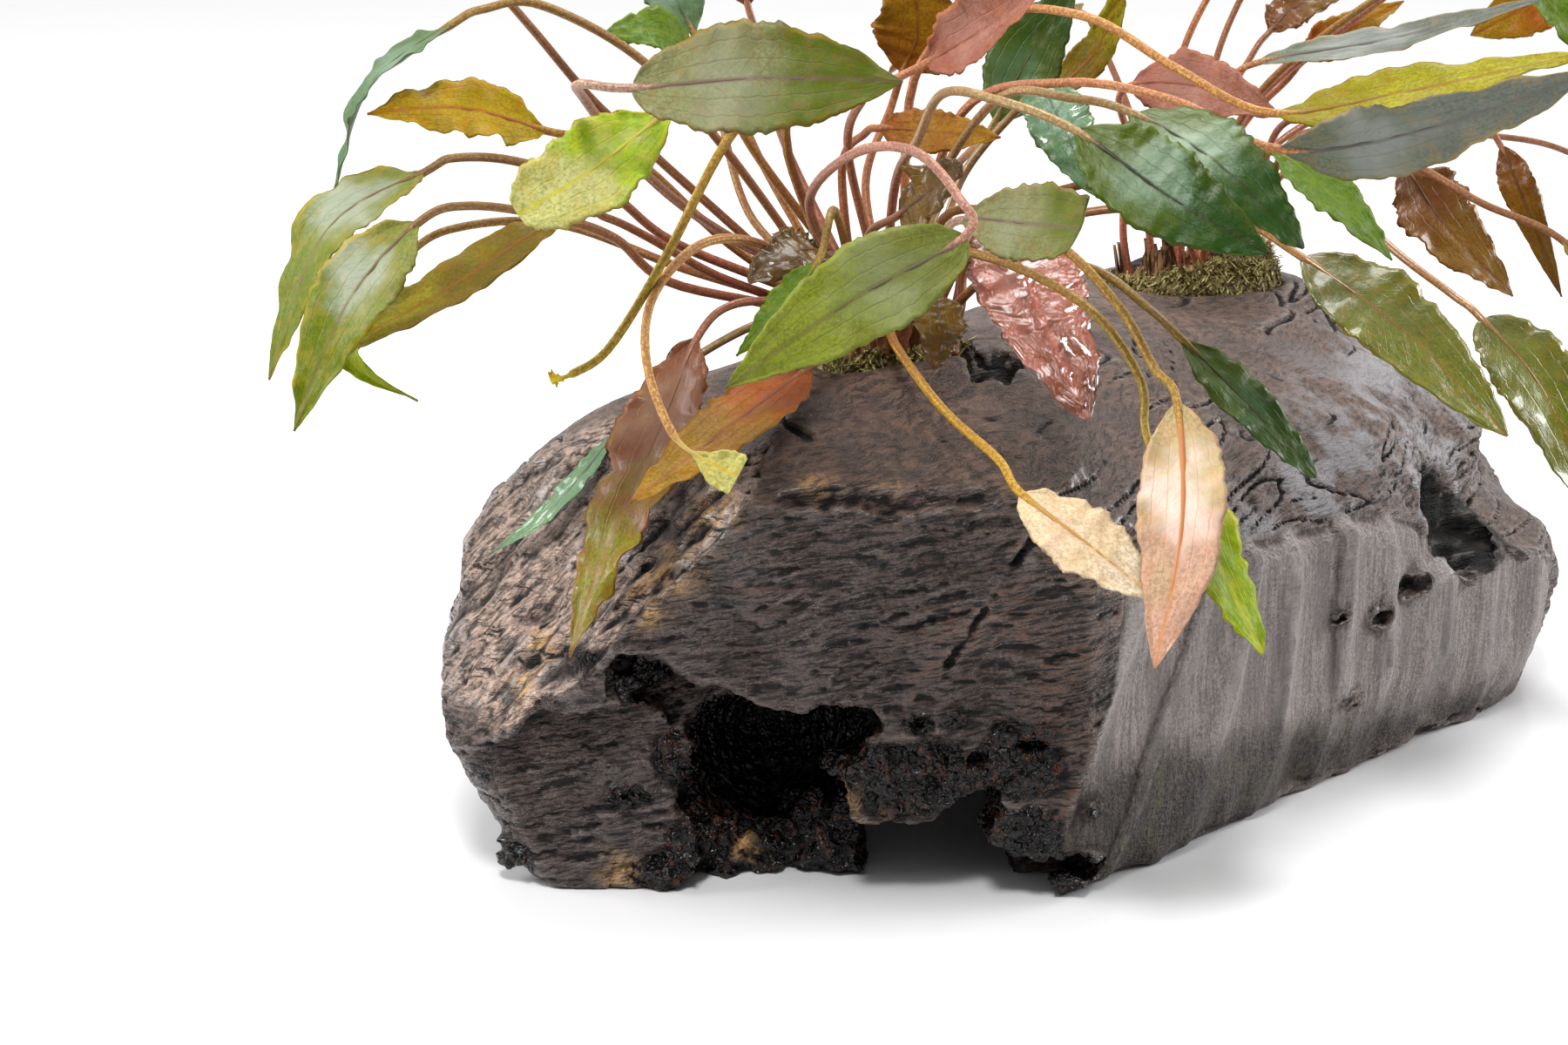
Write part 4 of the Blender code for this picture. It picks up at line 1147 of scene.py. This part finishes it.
LOOKS = {
    "silver green": Look(
        (0.2, 0.22, 0.08), (0.125, 0.165, 0.022), (0.48, 0.35, 0.11), (0.22, 0.25, 0.13),
        (0.16, 0.12, 0.055), (0.21, 0.13, 0.045), (0.37, 0.4, 0.35), 0.9),
    "grey olive": Look(
        (0.23, 0.235, 0.125), (0.1, 0.13, 0.022), (0.25, 0.15, 0.05), (0.23, 0.245, 0.15),
        (0.15, 0.105, 0.075), (0.4, 0.26, 0.18), (0.3, 0.31, 0.24), 0.5),
    "sea green": Look(
        (0.13, 0.195, 0.11), (0.11, 0.18, 0.095), (0.17, 0.2, 0.08), (0.16, 0.22, 0.13),
        (0.09, 0.12, 0.065), (0.26, 0.17, 0.04), (0.25, 0.32, 0.26), 0.6),
    "dusty green": Look(
        (0.17, 0.19, 0.065), (0.21, 0.245, 0.065), (0.26, 0.27, 0.09), (0.19, 0.22, 0.11),
        (0.12, 0.105, 0.045), (0.46, 0.24, 0.17), (0.26, 0.285, 0.18), 0.6),
    "lime": Look(
        (0.2, 0.33, 0.004), (0.44, 0.42, 0.2), (0.42, 0.28, 0.11), (0.2, 0.26, 0.03),
        (0.4, 0.38, 0.06), (0.42, 0.22, 0.04), (0.5, 0.42, 0.27), 0.3, 0.1, 0.9, 1.2),
    "ochre green": Look(
        (0.36, 0.255, 0.003), (0.46, 0.33, 0.12), (0.42, 0.22, 0.045), (0.26, 0.21, 0.04),
        (0.3, 0.1, 0.025), (0.33, 0.17, 0.03), (0.48, 0.34, 0.2), 0.3),
    "olive": Look(
        (0.15, 0.105, 0.006), (0.25, 0.225, 0.003), (0.28, 0.15, 0.015), (0.19, 0.175, 0.04),
        (0.24, 0.095, 0.015), (0.22, 0.1, 0.035)),
    "pale green": Look(
        (0.28, 0.33, 0.13), (0.24, 0.32, 0.04), (0.36, 0.37, 0.12), (0.32, 0.36, 0.18),
        (0.33, 0.32, 0.11)),
    "arrow": Look(
        (0.56, 0.46, 0.18), (0.5, 0.5, 0.23), (0.54, 0.5, 0.24), (0.52, 0.47, 0.22),
        (0.56, 0.4, 0.14), (0.58, 0.31, 0.1)),
    "cut stalk": Look(
        (0.46, 0.34, 0.06), (0.55, 0.42, 0.13), (0.5, 0.36, 0.1), (0.42, 0.32, 0.08),
        (0.46, 0.32, 0.06), (0.36, 0.26, 0.025)),
    "brown pink": Look(
        (0.19, 0.07, 0.038), (0.19, 0.185, 0.004), (0.3, 0.105, 0.045), (0.24, 0.115, 0.08),
        (0.2, 0.09, 0.04), (0.28, 0.11, 0.055), (0.3, 0.195, 0.155), 0.5, 0.35, 0.9, 1.1),
    "orange brown": Look(
        (0.37, 0.1, 0.036), (0.35, 0.21, 0.018), (0.42, 0.21, 0.045), (0.29, 0.12, 0.055),
        (0.25, 0.085, 0.035), (0.36, 0.13, 0.055), (0.48, 0.23, 0.14), 0.3),
    "deep green": Look(
        (0.06, 0.09, 0.004), (0.022, 0.06, 0.006), (0.06, 0.095, 0.016), (0.075, 0.115, 0.036),
        (0.045, 0.05, 0.01), (0.23, 0.16, 0.02), (0.13, 0.2, 0.14), 0.5, 0.35),
    "silver film": Look(
        (0.085, 0.12, 0.026), (0.012, 0.052, 0.006), (0.12, 0.155, 0.015), (0.08, 0.115, 0.05),
        (0.022, 0.026, 0.008), (0.33, 0.23, 0.085), (0.23, 0.3, 0.215), 1.0, 0.3),
    "leaf green": Look(
        (0.075, 0.145, 0.002), (0.085, 0.165, 0.002), (0.17, 0.21, 0.022), (0.15, 0.205, 0.03),
        (0.13, 0.17, 0.01), (0.26, 0.18, 0.03)),
    "wet olive": Look(
        (0.085, 0.095, 0.003), (0.135, 0.155, 0.002), (0.24, 0.17, 0.015), (0.16, 0.155, 0.03),
        (0.19, 0.095, 0.01), (0.33, 0.16, 0.04), (0.15, 0.165, 0.06), 0.4, 0.6),
    "wet pink": Look(
        (0.37, 0.11, 0.06), (0.29, 0.08, 0.04), (0.22, 0.065, 0.03), (0.36, 0.15, 0.095),
        (0.54, 0.13, 0.085), (0.43, 0.12, 0.065), (0.5, 0.24, 0.18), 0.3, 1.0, 1.0, 1.0),
    "pale pink": Look(
        (0.47, 0.37, 0.17), (0.59, 0.35, 0.26), (0.52, 0.3, 0.2), (0.33, 0.32, 0.07),
        (0.6, 0.24, 0.09), (0.4, 0.25, 0.045), (0.78, 0.64, 0.55), 1.0, 0.1, 1.0, 1.0),
    "cream": Look(
        (0.68, 0.5, 0.3), (0.74, 0.6, 0.44), (0.54, 0.37, 0.19), (0.6, 0.5, 0.34),
        (0.5, 0.28, 0.08), (0.56, 0.32, 0.03), (0.5, 0.29, 0.2), 0.35, 0.1, 1.05, 0.95),
    "white green": Look(
        (0.44, 0.42, 0.15), (0.18, 0.3, 0.002), (0.45, 0.43, 0.11), (0.34, 0.38, 0.1),
        (0.44, 0.4, 0.14), (0.33, 0.23, 0.04), (0.56, 0.57, 0.34), 0.5),
    "silver blue": Look(
        (0.18, 0.2, 0.155), (0.15, 0.165, 0.14), (0.43, 0.3, 0.12), (0.2, 0.215, 0.17),
        (0.12, 0.11, 0.095), (0.5, 0.23, 0.09), (0.29, 0.305, 0.29), 0.9, 0.25),
    "yellow green": Look(
        (0.24, 0.215, 0.003), (0.33, 0.31, 0.015), (0.32, 0.18, 0.018), (0.25, 0.255, 0.14),
        (0.23, 0.105, 0.018), (0.54, 0.27, 0.075)),
    "amber": Look(
        (0.26, 0.08, 0.001), (0.33, 0.17, 0.002), (0.22, 0.075, 0.006), (0.29, 0.135, 0.03),
        (0.2, 0.06, 0.006), (0.34, 0.13, 0.045)),
    "dull pink": Look(
        (0.29, 0.1, 0.066), (0.34, 0.135, 0.09), (0.39, 0.12, 0.018), (0.3, 0.115, 0.08),
        (0.24, 0.07, 0.038), (0.44, 0.18, 0.085), (0.4, 0.22, 0.17), 0.4, 0.1, 0.9, 1.0),
    "brown": Look(
        (0.15, 0.058, 0.018), (0.2, 0.11, 0.028), (0.24, 0.1, 0.028), (0.22, 0.12, 0.075),
        (0.105, 0.038, 0.014), (0.28, 0.12, 0.055), (0.27, 0.15, 0.105), 0.3, 0.4),
    "tobacco": Look(
        (0.16, 0.085, 0.005), (0.08, 0.04, 0.006), (0.16, 0.075, 0.012), (0.19, 0.12, 0.04),
        (0.095, 0.04, 0.008), (0.28, 0.13, 0.055), (0.23, 0.16, 0.08), 0.3, 0.45),
    "blue green": Look(
        (0.13, 0.225, 0.125), (0.16, 0.26, 0.145), (0.15, 0.205, 0.075), (0.16, 0.225, 0.125),
        (0.095, 0.14, 0.07), (0.25, 0.19, 0.06), (0.26, 0.34, 0.275), 0.5, 0.6),
}
ROSE_FOOT = (0.350, 0.095, 0.060)
BROWN_FOOT = (0.220, 0.085, 0.035)
SOAKED = 0.9
finishes = {}


def shade_of(colour, share, more=0):
    """A darker or paler shade of a colour: a share of it, and a little more in every channel."""
    return [min(1, channel * share + more) for channel in colour]


def leaf_finish(name):
    """The finish of one kind of leaf, from the tones of its parts."""
    look = LOOKS[name]
    # Water lies on the wettest leaves as a smooth film.
    values = {
        "Specular IOR Level": 0.12 + 0.40 * look.wet,
        "Coat Weight": max(0, 1.4 * look.wet - 0.4),
        "Coat Roughness": 0.06,
    }
    finish, shader = new_finish(name, values)
    t, across, off = kept("leaf")
    stalk, under, seed = kept("part")
    spot = here()
    patch = spot.grainy(0.09, 3, 0.6)
    cells = spot.grainy(1.7, 3, 0.7)
    dots = spot.grainy(4.5, 2, 0.7)
    blade = stalk.ease(0.45, 0.25)
    side = abs(across)

    colour = (t + patch * 1.2 - 0.6).ease(0.25, 0.70).tint(look.neck, look.tip)
    colour = (cells.ease(0.38, 0.66) * 0.55).tint(colour, shade_of(look.neck, 0.36))
    rusty = (spot.grainy(0.35, 4, 0.7) + side * 0.10).ease(0.52, 0.66)
    colour = (rusty * 0.35).tint(colour, [(a + b) / 2 for a, b in zip(look.edge, look.rib)])
    colour = (dots.ease(0.55, 0.70) * 0.15).tint(colour, shade_of(look.tip, 1.5, 0.03))
    # Painted sheen: a pale wash where the blade would reflect the light.
    if look.painted_sheen_share:
        painted_sheen = (0.42 + patch * 0.5 + cells * 0.22 - abs(t - 0.36) * 0.8 - side * 0.12).ease(0.56, 0.74)
        colour = (painted_sheen * look.painted_sheen_share * 0.75).tint(colour, look.film)
    veins = abs(side - 0.36 + patch * 0.04).ease(0.030, 0.006).most(abs(side - 0.68).ease(0.028, 0.006))
    nets = vector(t * 26 - side * 5, across * 1.2, seed * 9).grainy(1.0, 2)
    nets = abs(nets - 0.5).ease(0.022, 0.0) * 0.3
    colour = (veins * 0.20).most(nets).tint(colour, look.rib)
    back = (cells.ease(0.35, 0.65) * 0.4).tint(look.back, shade_of(look.back, 0.6))
    colour = under.ease(0.4, 0.6).tint(colour, back)
    rim = (side + patch * 0.40 - 0.20).ease(0.90, 1.0)
    colour = (rim * 0.5).tint(colour, look.edge)
    colour = (abs(off).ease(0.65, 0.15) * 0.6).tint(colour, look.rib)

    streaks = vector(t * 5, across * 9, seed * 9).grainy(1.0, 4, 0.6)
    foot = (seed * 7.3 + patch).maths("FRACT").ease(0.2, 0.8).tint(ROSE_FOOT, BROWN_FOOT)
    stem = (t + streaks * 0.5 - 0.25).ease(0.10, 0.90).tint(foot, look.stalk)
    # Pale streaks along the stalk: partly its own streaks, partly painted highlight.
    stem = (streaks.ease(0.48, 0.66) * 0.55).tint(stem, shade_of(look.stalk, 1.9, 0.04))
    stem = (cells.ease(0.42, 0.56) * 0.55).tint(stem, (0.130, 0.032, 0.016))
    stem = (dots.ease(0.46, 0.62) * 0.50).tint(stem, shade_of(look.stalk, 0.30))
    stem = stalk.ease(0.52, 0.90).tint(shade_of(look.rib, 0.8), stem)
    strength = {"Saturation": look.rich, "Value": look.bright}
    richer = Tone.node("HueSaturation", None, {**strength, "Color": colour})
    blade.tint(stem, richer).feed(shader, "Base Color")

    (0.40 - 0.32 * look.wet + (0.22 - 0.16 * look.wet) * cells).feed(shader, "Roughness")
    relief = cells * 0.40 + dots * 0.12 - (veins * 0.3 + nets * 0.3) * blade
    # A blade that is soaked is quilted between its veins.
    twist, height = (1.6, 0.0028) if look.wet > SOAKED else (0, 0.0009)
    swell = vector(t * 9, across * 1.5, seed * 9).grainy(1.0, 2, 0.4, twist) * blade
    bumped(relief, 0.00030, 0.6, bumped(swell, height, 0.8)).feed(shader, "Normal")
    return finish


CROWN_TOP = 1.8


def grow_leaves(side, rows):
    """All the leaves of one plant."""
    foot = Vector(POCKETS[side].middle) + Vector((0, 0, CROWN_TOP))
    for i, (*route, group, look, shape) in enumerate(rows, start=1):
        node = f"{side}_leaf_{i:02d}"
        leaf = grow_leaf(f"{node}_grown", foot, route, shape)
        if look not in finishes:
            finishes[look] = leaf_finish(look)
        leaf.data.materials.append(finishes[look])
        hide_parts(node)
        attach(leaf, "root")


# Each row holds the distance and bearing of the leaf's foot from the middle of the crown, the points
# that the stalk passes, the points of the blade's midrib from neck to tip, the blade's greatest width,
# the way its upper side faces, its class of colour, its look and its shape.
FRONT_LEAVES = (
    # The near left side.
    (5, 215, ((-13, 40, 112), (-25, 18, 127), (-32, 3, 140), (-31, -20, 146)),
     ((-23, -24, 146), (-3, -28, 148), (18, -24, 147)), 18, (0, -10, 6), "grey green", "grey olive",
     Shape(peak=0.85, foot=0.8, tip=1.2, wave=0.7, uneven=0.06)),
    (2, 210, ((-3, 40, 122), (-12, 14, 140)),
     ((-18, -9, 140), (-30, -17, 132), (-41, -21, 126)), 16, (-2, -9, 6), "bright green", "lime",
     Shape(peak=0.95, foot=1.1, tip=0.35, wave=1.2, uneven=0.10)),
    (8, 166, ((-11, 62, 122), (-26, 52, 140), (-42, 38, 151), (-51, 32, 151)),
     ((-56, 28, 149), (-70, 25, 139), (-77, 25, 121)), 13, (-8, -2, 6), "grey green", "sea green",
     Shape(wave=1.2, uneven=0.08)),
    (11, 172, ((-23, 61, 120), (-34, 52, 132), (-44, 44, 146), (-52, 36, 157)),
     ((-59, 28, 164), (-72, 20, 172), (-88, 14, 172)), 13, (-2, -4, 10), "olive", "olive", Shape()),
    (11, 190, ((-11, 56, 106), (-25, 44, 122), (-34, 36, 128)),
     ((-41, 33, 130), (-55, 26, 135), (-70, 20, 135)), 13, (0, -8, 8), "olive", "ochre green",
     Shape(tip=1.2, wave=2.0, uneven=0.10)),
    (8, 212, ((-19, 47, 107), (-31, 35, 119), (-45, 25, 126), (-55, 18, 128)),
     ((-60, 16, 126), (-76, 10, 117), (-86, 4, 93)), 17, (-7, -6, 8), "grey green", "silver green",
     Shape(wave=1.2, uneven=0.06)),
    (14, 210, ((-20, 38, 102), (-29, 24, 113), (-38, 12, 119), (-51, 2, 123)),
     ((-59, -2, 121), (-70, -9, 109), (-79, -13, 89)), 16, (-5, -9, 6), "grey green", "silver green",
     Shape(foot=1.15, tip=1.2, wave=1.2, uneven=0.06)),
    (14, 185, ((-20, 61, 100), (-40, 50, 110), (-56, 40, 112)),
     ((-66, 34, 108), (-76, 28, 92), (-64, 24, 84)), 6, (-6, -4, 6), "olive", "pale green",
     Shape(peak=0.6, tip=1.6, cup=0.6)),
    (14, 198, ((-13, 50, 101), (-24, 39, 110), (-31, 32, 115)),
     ((-37, 26, 117), (-59, 14, 105), (-80, 6, 95)), 13, (-2, -4, 10), "olive", "olive",
     Shape(foot=1.2, tip=1.3, wave=1.0)),
    (8, 225, ((1, 38, 124), (0, 12, 141), (-9, 1, 134), (-19, -4, 116), (-28, -8, 102)),
     ((-34, -10, 98), (-38, -11, 97)), 5, (0, -2, 10), "orange", "cut stalk",
     Shape(peak=2.2, foot=1.2, tip=0.2, kept=0.85, uneven=0.12)),
    (14, 235, ((2, 44, 104), (-6, 22, 113), (-14, 4, 116), (-21, -6, 110), (-22, -13, 101)),
     ((-18, -16, 90), (-13, -18, 86), (-6, -20, 83)), 8, (4, -8, 6), "bright green", "arrow",
     Shape(peak=3.0, foot=1.6, tip=0.3, kept=0.88, uneven=0.10)),
    (14, 248, ((1, 43, 97), (-9, 34, 99)),
     ((-15, 27, 95), (-21, 17, 82), (-30, 3, 64), (-36, -8, 48)), 16, (-5, -8, 8), "brown", "brown pink",
     Shape(peak=0.7, tip=1.2, wave=1.8, crisp=0.7, uneven=0.14)),
    (14, 261, ((9, 44, 89),),
     ((4, 31, 88), (-9, 8, 84), (-25, -13, 77)), 13, (0, -4, 10), "orange", "orange brown",
     Shape(foot=1.0, tip=1.0, wave=1.0, crisp=0.3, uneven=0.09)),
    (14, 222, ((-5, 48, 92), (-20, 40, 85)),
     ((-29, 33, 77), (-41, 26, 64), (-54, 31, 53)), 6, (-5, -5, 8), "deep green", "blue green",
     Shape(foot=1.4, tip=1.4, wave=0.5)),
    # The near right side.
    (5, 250, ((6, 40, 111), (5, 22, 122), (12, -4, 133), (20, -22, 136), (26, -32, 131)),
     ((27, -36, 126), (10, -40, 117), (-9, -42, 104)), 15, (4, -10, 8), "grey green", "dusty green",
     Shape(peak=0.8, foot=0.9, tip=1.3, wave=1.0, uneven=0.06)),
    (11, 252, ((9, 32, 116),),
     ((6, 17, 111), (0, 10, 104), (-8, 5, 97)), 8, (-4, -8, 6), "deep green", "leaf green",
     Shape(tip=1.2, uneven=0.06)),
    (11, 270, ((12, 42, 104),),
     ((8, 29, 109), (2, 22, 111), (-6, 16, 107)), 11, (0, -6, 8), "brown", "tobacco",
     Shape(wave=2.4, crisp=0.5, uneven=0.15, tip=0.7)),
    (8, 272, ((15, 46, 108),),
     ((20, 34, 115), (25, 25, 121), (30, 18, 127)), 11, (-6, -8, 4), "olive", "tobacco",
     Shape(wave=2.0, uneven=0.10, tip=0.8)),
    (14, 287, ((23, 42, 99),),
     ((26, 32, 101), (27, 26, 97), (26, 23, 90)), 10, (2, -8, 3), "brown", "tobacco",
     Shape(wave=1.2, uneven=0.10, tip=0.9)),
    (14, 308, ((34, 52, 106),),
     ((38, 39, 113), (43, 24, 103), (51, 4, 86)), 19, (1, -10, 5), "pink", "wet pink",
     Shape(peak=0.8, foot=0.9, tip=0.85, wave=0.7, crisp=0.35, uneven=0.07, blister=0.5)),
    (8, 288, ((22, 38, 107), (26, 13, 114)),
     ((28, -5, 122), (40, -14, 123), (54, -26, 124)), 14, (1, -10, 6), "grey green", "grey olive",
     Shape(kept=0.7, peak=0.9, wave=0.8, uneven=0.05)),
    (11, 294, ((27, 36, 107), (36, 16, 111), (50, 2, 106), (58, -6, 96)),
     ((59, -12, 87), (67, -22, 74), (76, -30, 57)), 14, (5, -7, 6), "bright green", "white green",
     Shape(tip=0.8, wave=0.8, uneven=0.07)),
    (11, 306, ((29, 36, 115), (44, 9, 116), (54, -4, 108), (59, -14, 100)),
     ((62, -20, 96), (62, -31, 79), (58, -36, 57)), 14, (-3, -10, 4), "pink", "pale pink",
     Shape(peak=0.8, foot=1.1, tip=1.1, wave=1.2, uneven=0.08, rib=0.9)),
    (14, 275, ((20, 36, 91), (27, 12, 86), (35, -8, 83)),
     ((38, -17, 80), (48, -25, 74), (59, -29, 66)), 13, (-2, -6, 10), "pink", "cream",
     Shape(peak=0.85, foot=1.0, wave=1.2, uneven=0.10, rib=0.8)),
    (14, 322, ((41, 46, 104), (54, 32, 106), (63, 23, 101)),
     ((68, 17, 97), (80, 9, 86), (90, 4, 76)), 10, (3, -8, 9), "deep green", "deep green",
     Shape(foot=1.2, tip=0.8, wave=0.5)),
    (5, 280, ((20, 50, 117), (23, 30, 129), (26, 10, 140), (34, -4, 141)),
     ((45, -14, 138), (59, -22, 129), (74, -26, 121)), 16, (-3, -8, 8), "deep green", "silver film",
     Shape(foot=1.2, tip=1.0, wave=0.5, uneven=0.04)),
    (8, 320, ((27, 58, 113), (37, 36, 135), (48, 18, 138)),
     ((57, 8, 137), (69, -5, 131), (82, -13, 119)), 19, (3, -7, 9), "deep green", "silver film",
     Shape(peak=0.7, foot=1.2, tip=0.9, wave=0.6, uneven=0.05)),
    (5, 20, ((24, 72, 132), (36, 56, 147), (52, 38, 149), (66, 26, 142)),
     ((81, 15, 136), (101, 5, 141), (127, -6, 149)), 13, (-3, -5, 10), "olive", "yellow green",
     Shape(wave=0.9, uneven=0.06)),
    (5, 335, ((32, 60, 128), (49, 42, 137), (66, 21, 137)),
     ((80, 4, 132), (99, -9, 137), (124, -22, 149)), 15, (2, -10, -3), "grey green", "silver blue",
     Shape(wave=1.0, crisp=0.3, uneven=0.06)),
    (14, 15, ((38, 74, 106), (58, 62, 116), (76, 50, 123)),
     ((86, 42, 125), (96, 35, 118), (106, 29, 108)), 14, (5, -6, 8), "bright green", "leaf green",
     Shape(wave=0.6)),
    (14, 350, ((36, 62, 103), (56, 48, 113), (76, 30, 116)),
     ((88, 18, 111), (103, 7, 101), (120, -2, 85)), 18, (4, -8, 6), "olive", "wet olive",
     Shape(foot=0.9, tip=0.9, wave=0.6, uneven=0.04)),
    # The far side.
    (8, 80, ((16, 90, 110), (21, 96, 124)),
     ((23, 95, 131), (26, 92, 141), (22, 88, 158)), 18, (-2, -10, 0), "orange", "amber",
     Shape(wave=1.4, uneven=0.08)),
    (2, 60, ((12, 66, 120), (14, 48, 133), (19, 32, 139)),
     ((24, 24, 143), (33, 14, 150), (43, 6, 159)), 12, (-6, -8, 4), "pink", "dull pink",
     Shape(wave=1.4, crisp=0.3, cup=0.5, uneven=0.07)),
    (11, 55, ((30, 92, 104), (37, 101, 112)),
     ((42, 103, 120), (49, 102, 134), (57, 98, 148)), 16, (-5, -10, 2), "deep green", "deep green",
     Shape(wave=0.8)),
    (11, 35, ((34, 82, 112), (45, 76, 128)),
     ((47, 66, 133), (51, 57, 126), (57, 51, 115)), 12, (1, -10, 3), "grey green", "blue green",
     Shape(wave=0.6, foot=0.9, tip=0.9)),
    (8, 120, ((11, 74, 116), (15, 66, 124)),
     ((18, 60, 126), (28, 55, 126), (39, 50, 126)), 9, (0, -9, 6), "orange", "amber", Shape(foot=0.9)),
    (11, 110, ((0, 92, 118), (-4, 98, 134)),
     ((-7, 101, 143), (-10, 103, 156), (-19, 102, 170)), 12, (2, -10, 2), "brown", "brown",
     Shape(wave=1.4)),
    (8, 150, ((-4, 78, 116), (-11, 84, 130)),
     ((-17, 83, 136), (-24, 80, 141), (-34, 76, 141)), 12, (0, -7, 8), "bright green", "leaf green",
     Shape()),
    (14, 130, ((-7, 92, 104), (-14, 108, 126)),
     ((-18, 112, 136), (-26, 116, 148), (-40, 117, 154)), 14, (0, -8, 8), "grey green", "sea green", Shape()),
    (14, 80, ((28, 100, 104), (44, 122, 116)),
     ((54, 130, 120), (66, 134, 131), (71, 132, 147)), 8, (-3, -9, 2), "olive", "olive", Shape()),
)

BACK_LEAVES = (
    # The near and right sides.
    (10, 320, ((98, 146, 106), (107, 114, 110), (117, 82, 100), (127, 68, 93)),
     ((131, 61, 90), (142, 52, 77), (152, 44, 53)), 19, (4, -9, 6), "olive", "wet olive",
     Shape(foot=0.8, wave=0.7, uneven=0.04)),
    (13, 335, ((110, 140, 111), (126, 110, 111), (139, 96, 105)),
     ((152, 86, 100), (162, 76, 88), (170, 68, 72)), 15, (6, -7, 7), "olive", "olive", Shape()),
    (13, 0, ((110, 164, 108), (122, 158, 111)),
     ((135, 151, 103), (144, 145, 91), (159, 139, 76)), 19, (3, -10, 6), "brown", "brown",
     Shape(wave=1.6, crisp=0.4, uneven=0.08)),
    (10, 5, ((112, 178, 102), (139, 179, 115), (156, 174, 110)),
     ((162, 171, 104), (167, 165, 92), (176, 160, 71)), 8, (-4, -8, 3), "brown", "brown", Shape()),
    (10, 30, ((106, 186, 107), (133, 196, 129), (158, 197, 145), (176, 194, 143)),
     ((178, 193, 139), (170, 191, 132), (158, 189, 126)), 15, (0, -10, 3), "orange", "orange brown",
     Shape()),
    (7, 290, ((95, 150, 107), (95, 141, 120)),
     ((99, 136, 127), (126, 124, 134), (154, 112, 144)), 8, (0, -6, 8), "grey green", "silver blue", Shape()),
    (4, 315, ((102, 160, 113), (121, 142, 137), (140, 132, 149)),
     ((151, 130, 146), (160, 126, 138), (168, 121, 127)), 10, (4, -8, 6), "deep green", "leaf green",
     Shape()),
    (13, 270, ((82, 144, 99), (70, 122, 118)),
     ((70, 112, 126), (83, 103, 127), (98, 98, 122)), 15, (0, -8, 6), "pink", "dull pink",
     Shape(wave=1.6, crisp=0.4, uneven=0.08)),
    (7, 60, ((99, 180, 107), (107, 184, 122)),
     ((111, 186, 127), (118, 188, 133), (136, 193, 139)), 10, (-3, -8, 6), "brown", "brown",
     Shape(wave=1.6, crisp=0.4)),
    (13, 55, ((106, 192, 102), (118, 196, 115)),
     ((122, 198, 119), (131, 200, 125), (146, 205, 132)), 11, (-4, -8, 5), "brown", "orange brown", Shape()),
    # The far and left sides.
    (4, 110, ((87, 172, 105), (90, 176, 124), (98, 180, 140)),
     ((104, 181, 148), (113, 180, 158), (128, 176, 164)), 14, (-4, -8, 5), "orange", "amber", Shape()),
    (13, 85, ((98, 196, 99), (103, 207, 119), (110, 213, 134)),
     ((116, 218, 141), (134, 226, 146), (153, 232, 138)), 15, (0, -5, 10), "olive", "olive", Shape()),
    (13, 20, ((116, 178, 97), (141, 186, 104), (166, 187, 103)),
     ((181, 186, 100), (192, 181, 93), (202, 176, 80)), 13, (4, -4, 9), "brown", "brown", Shape()),
    (13, 160, ((76, 180, 98), (60, 190, 116)),
     ((53, 194, 122), (38, 202, 124), (22, 208, 112)), 15, (-3, 2, 10), "orange", "orange brown", Shape()),
    (10, 130, ((82, 186, 103), (74, 204, 124)),
     ((70, 210, 129), (63, 222, 128), (58, 234, 117)), 14, (-2, 5, 10), "olive", "olive", Shape()),
)
grow_leaves("front", FRONT_LEAVES)
grow_leaves("back", BACK_LEAVES)
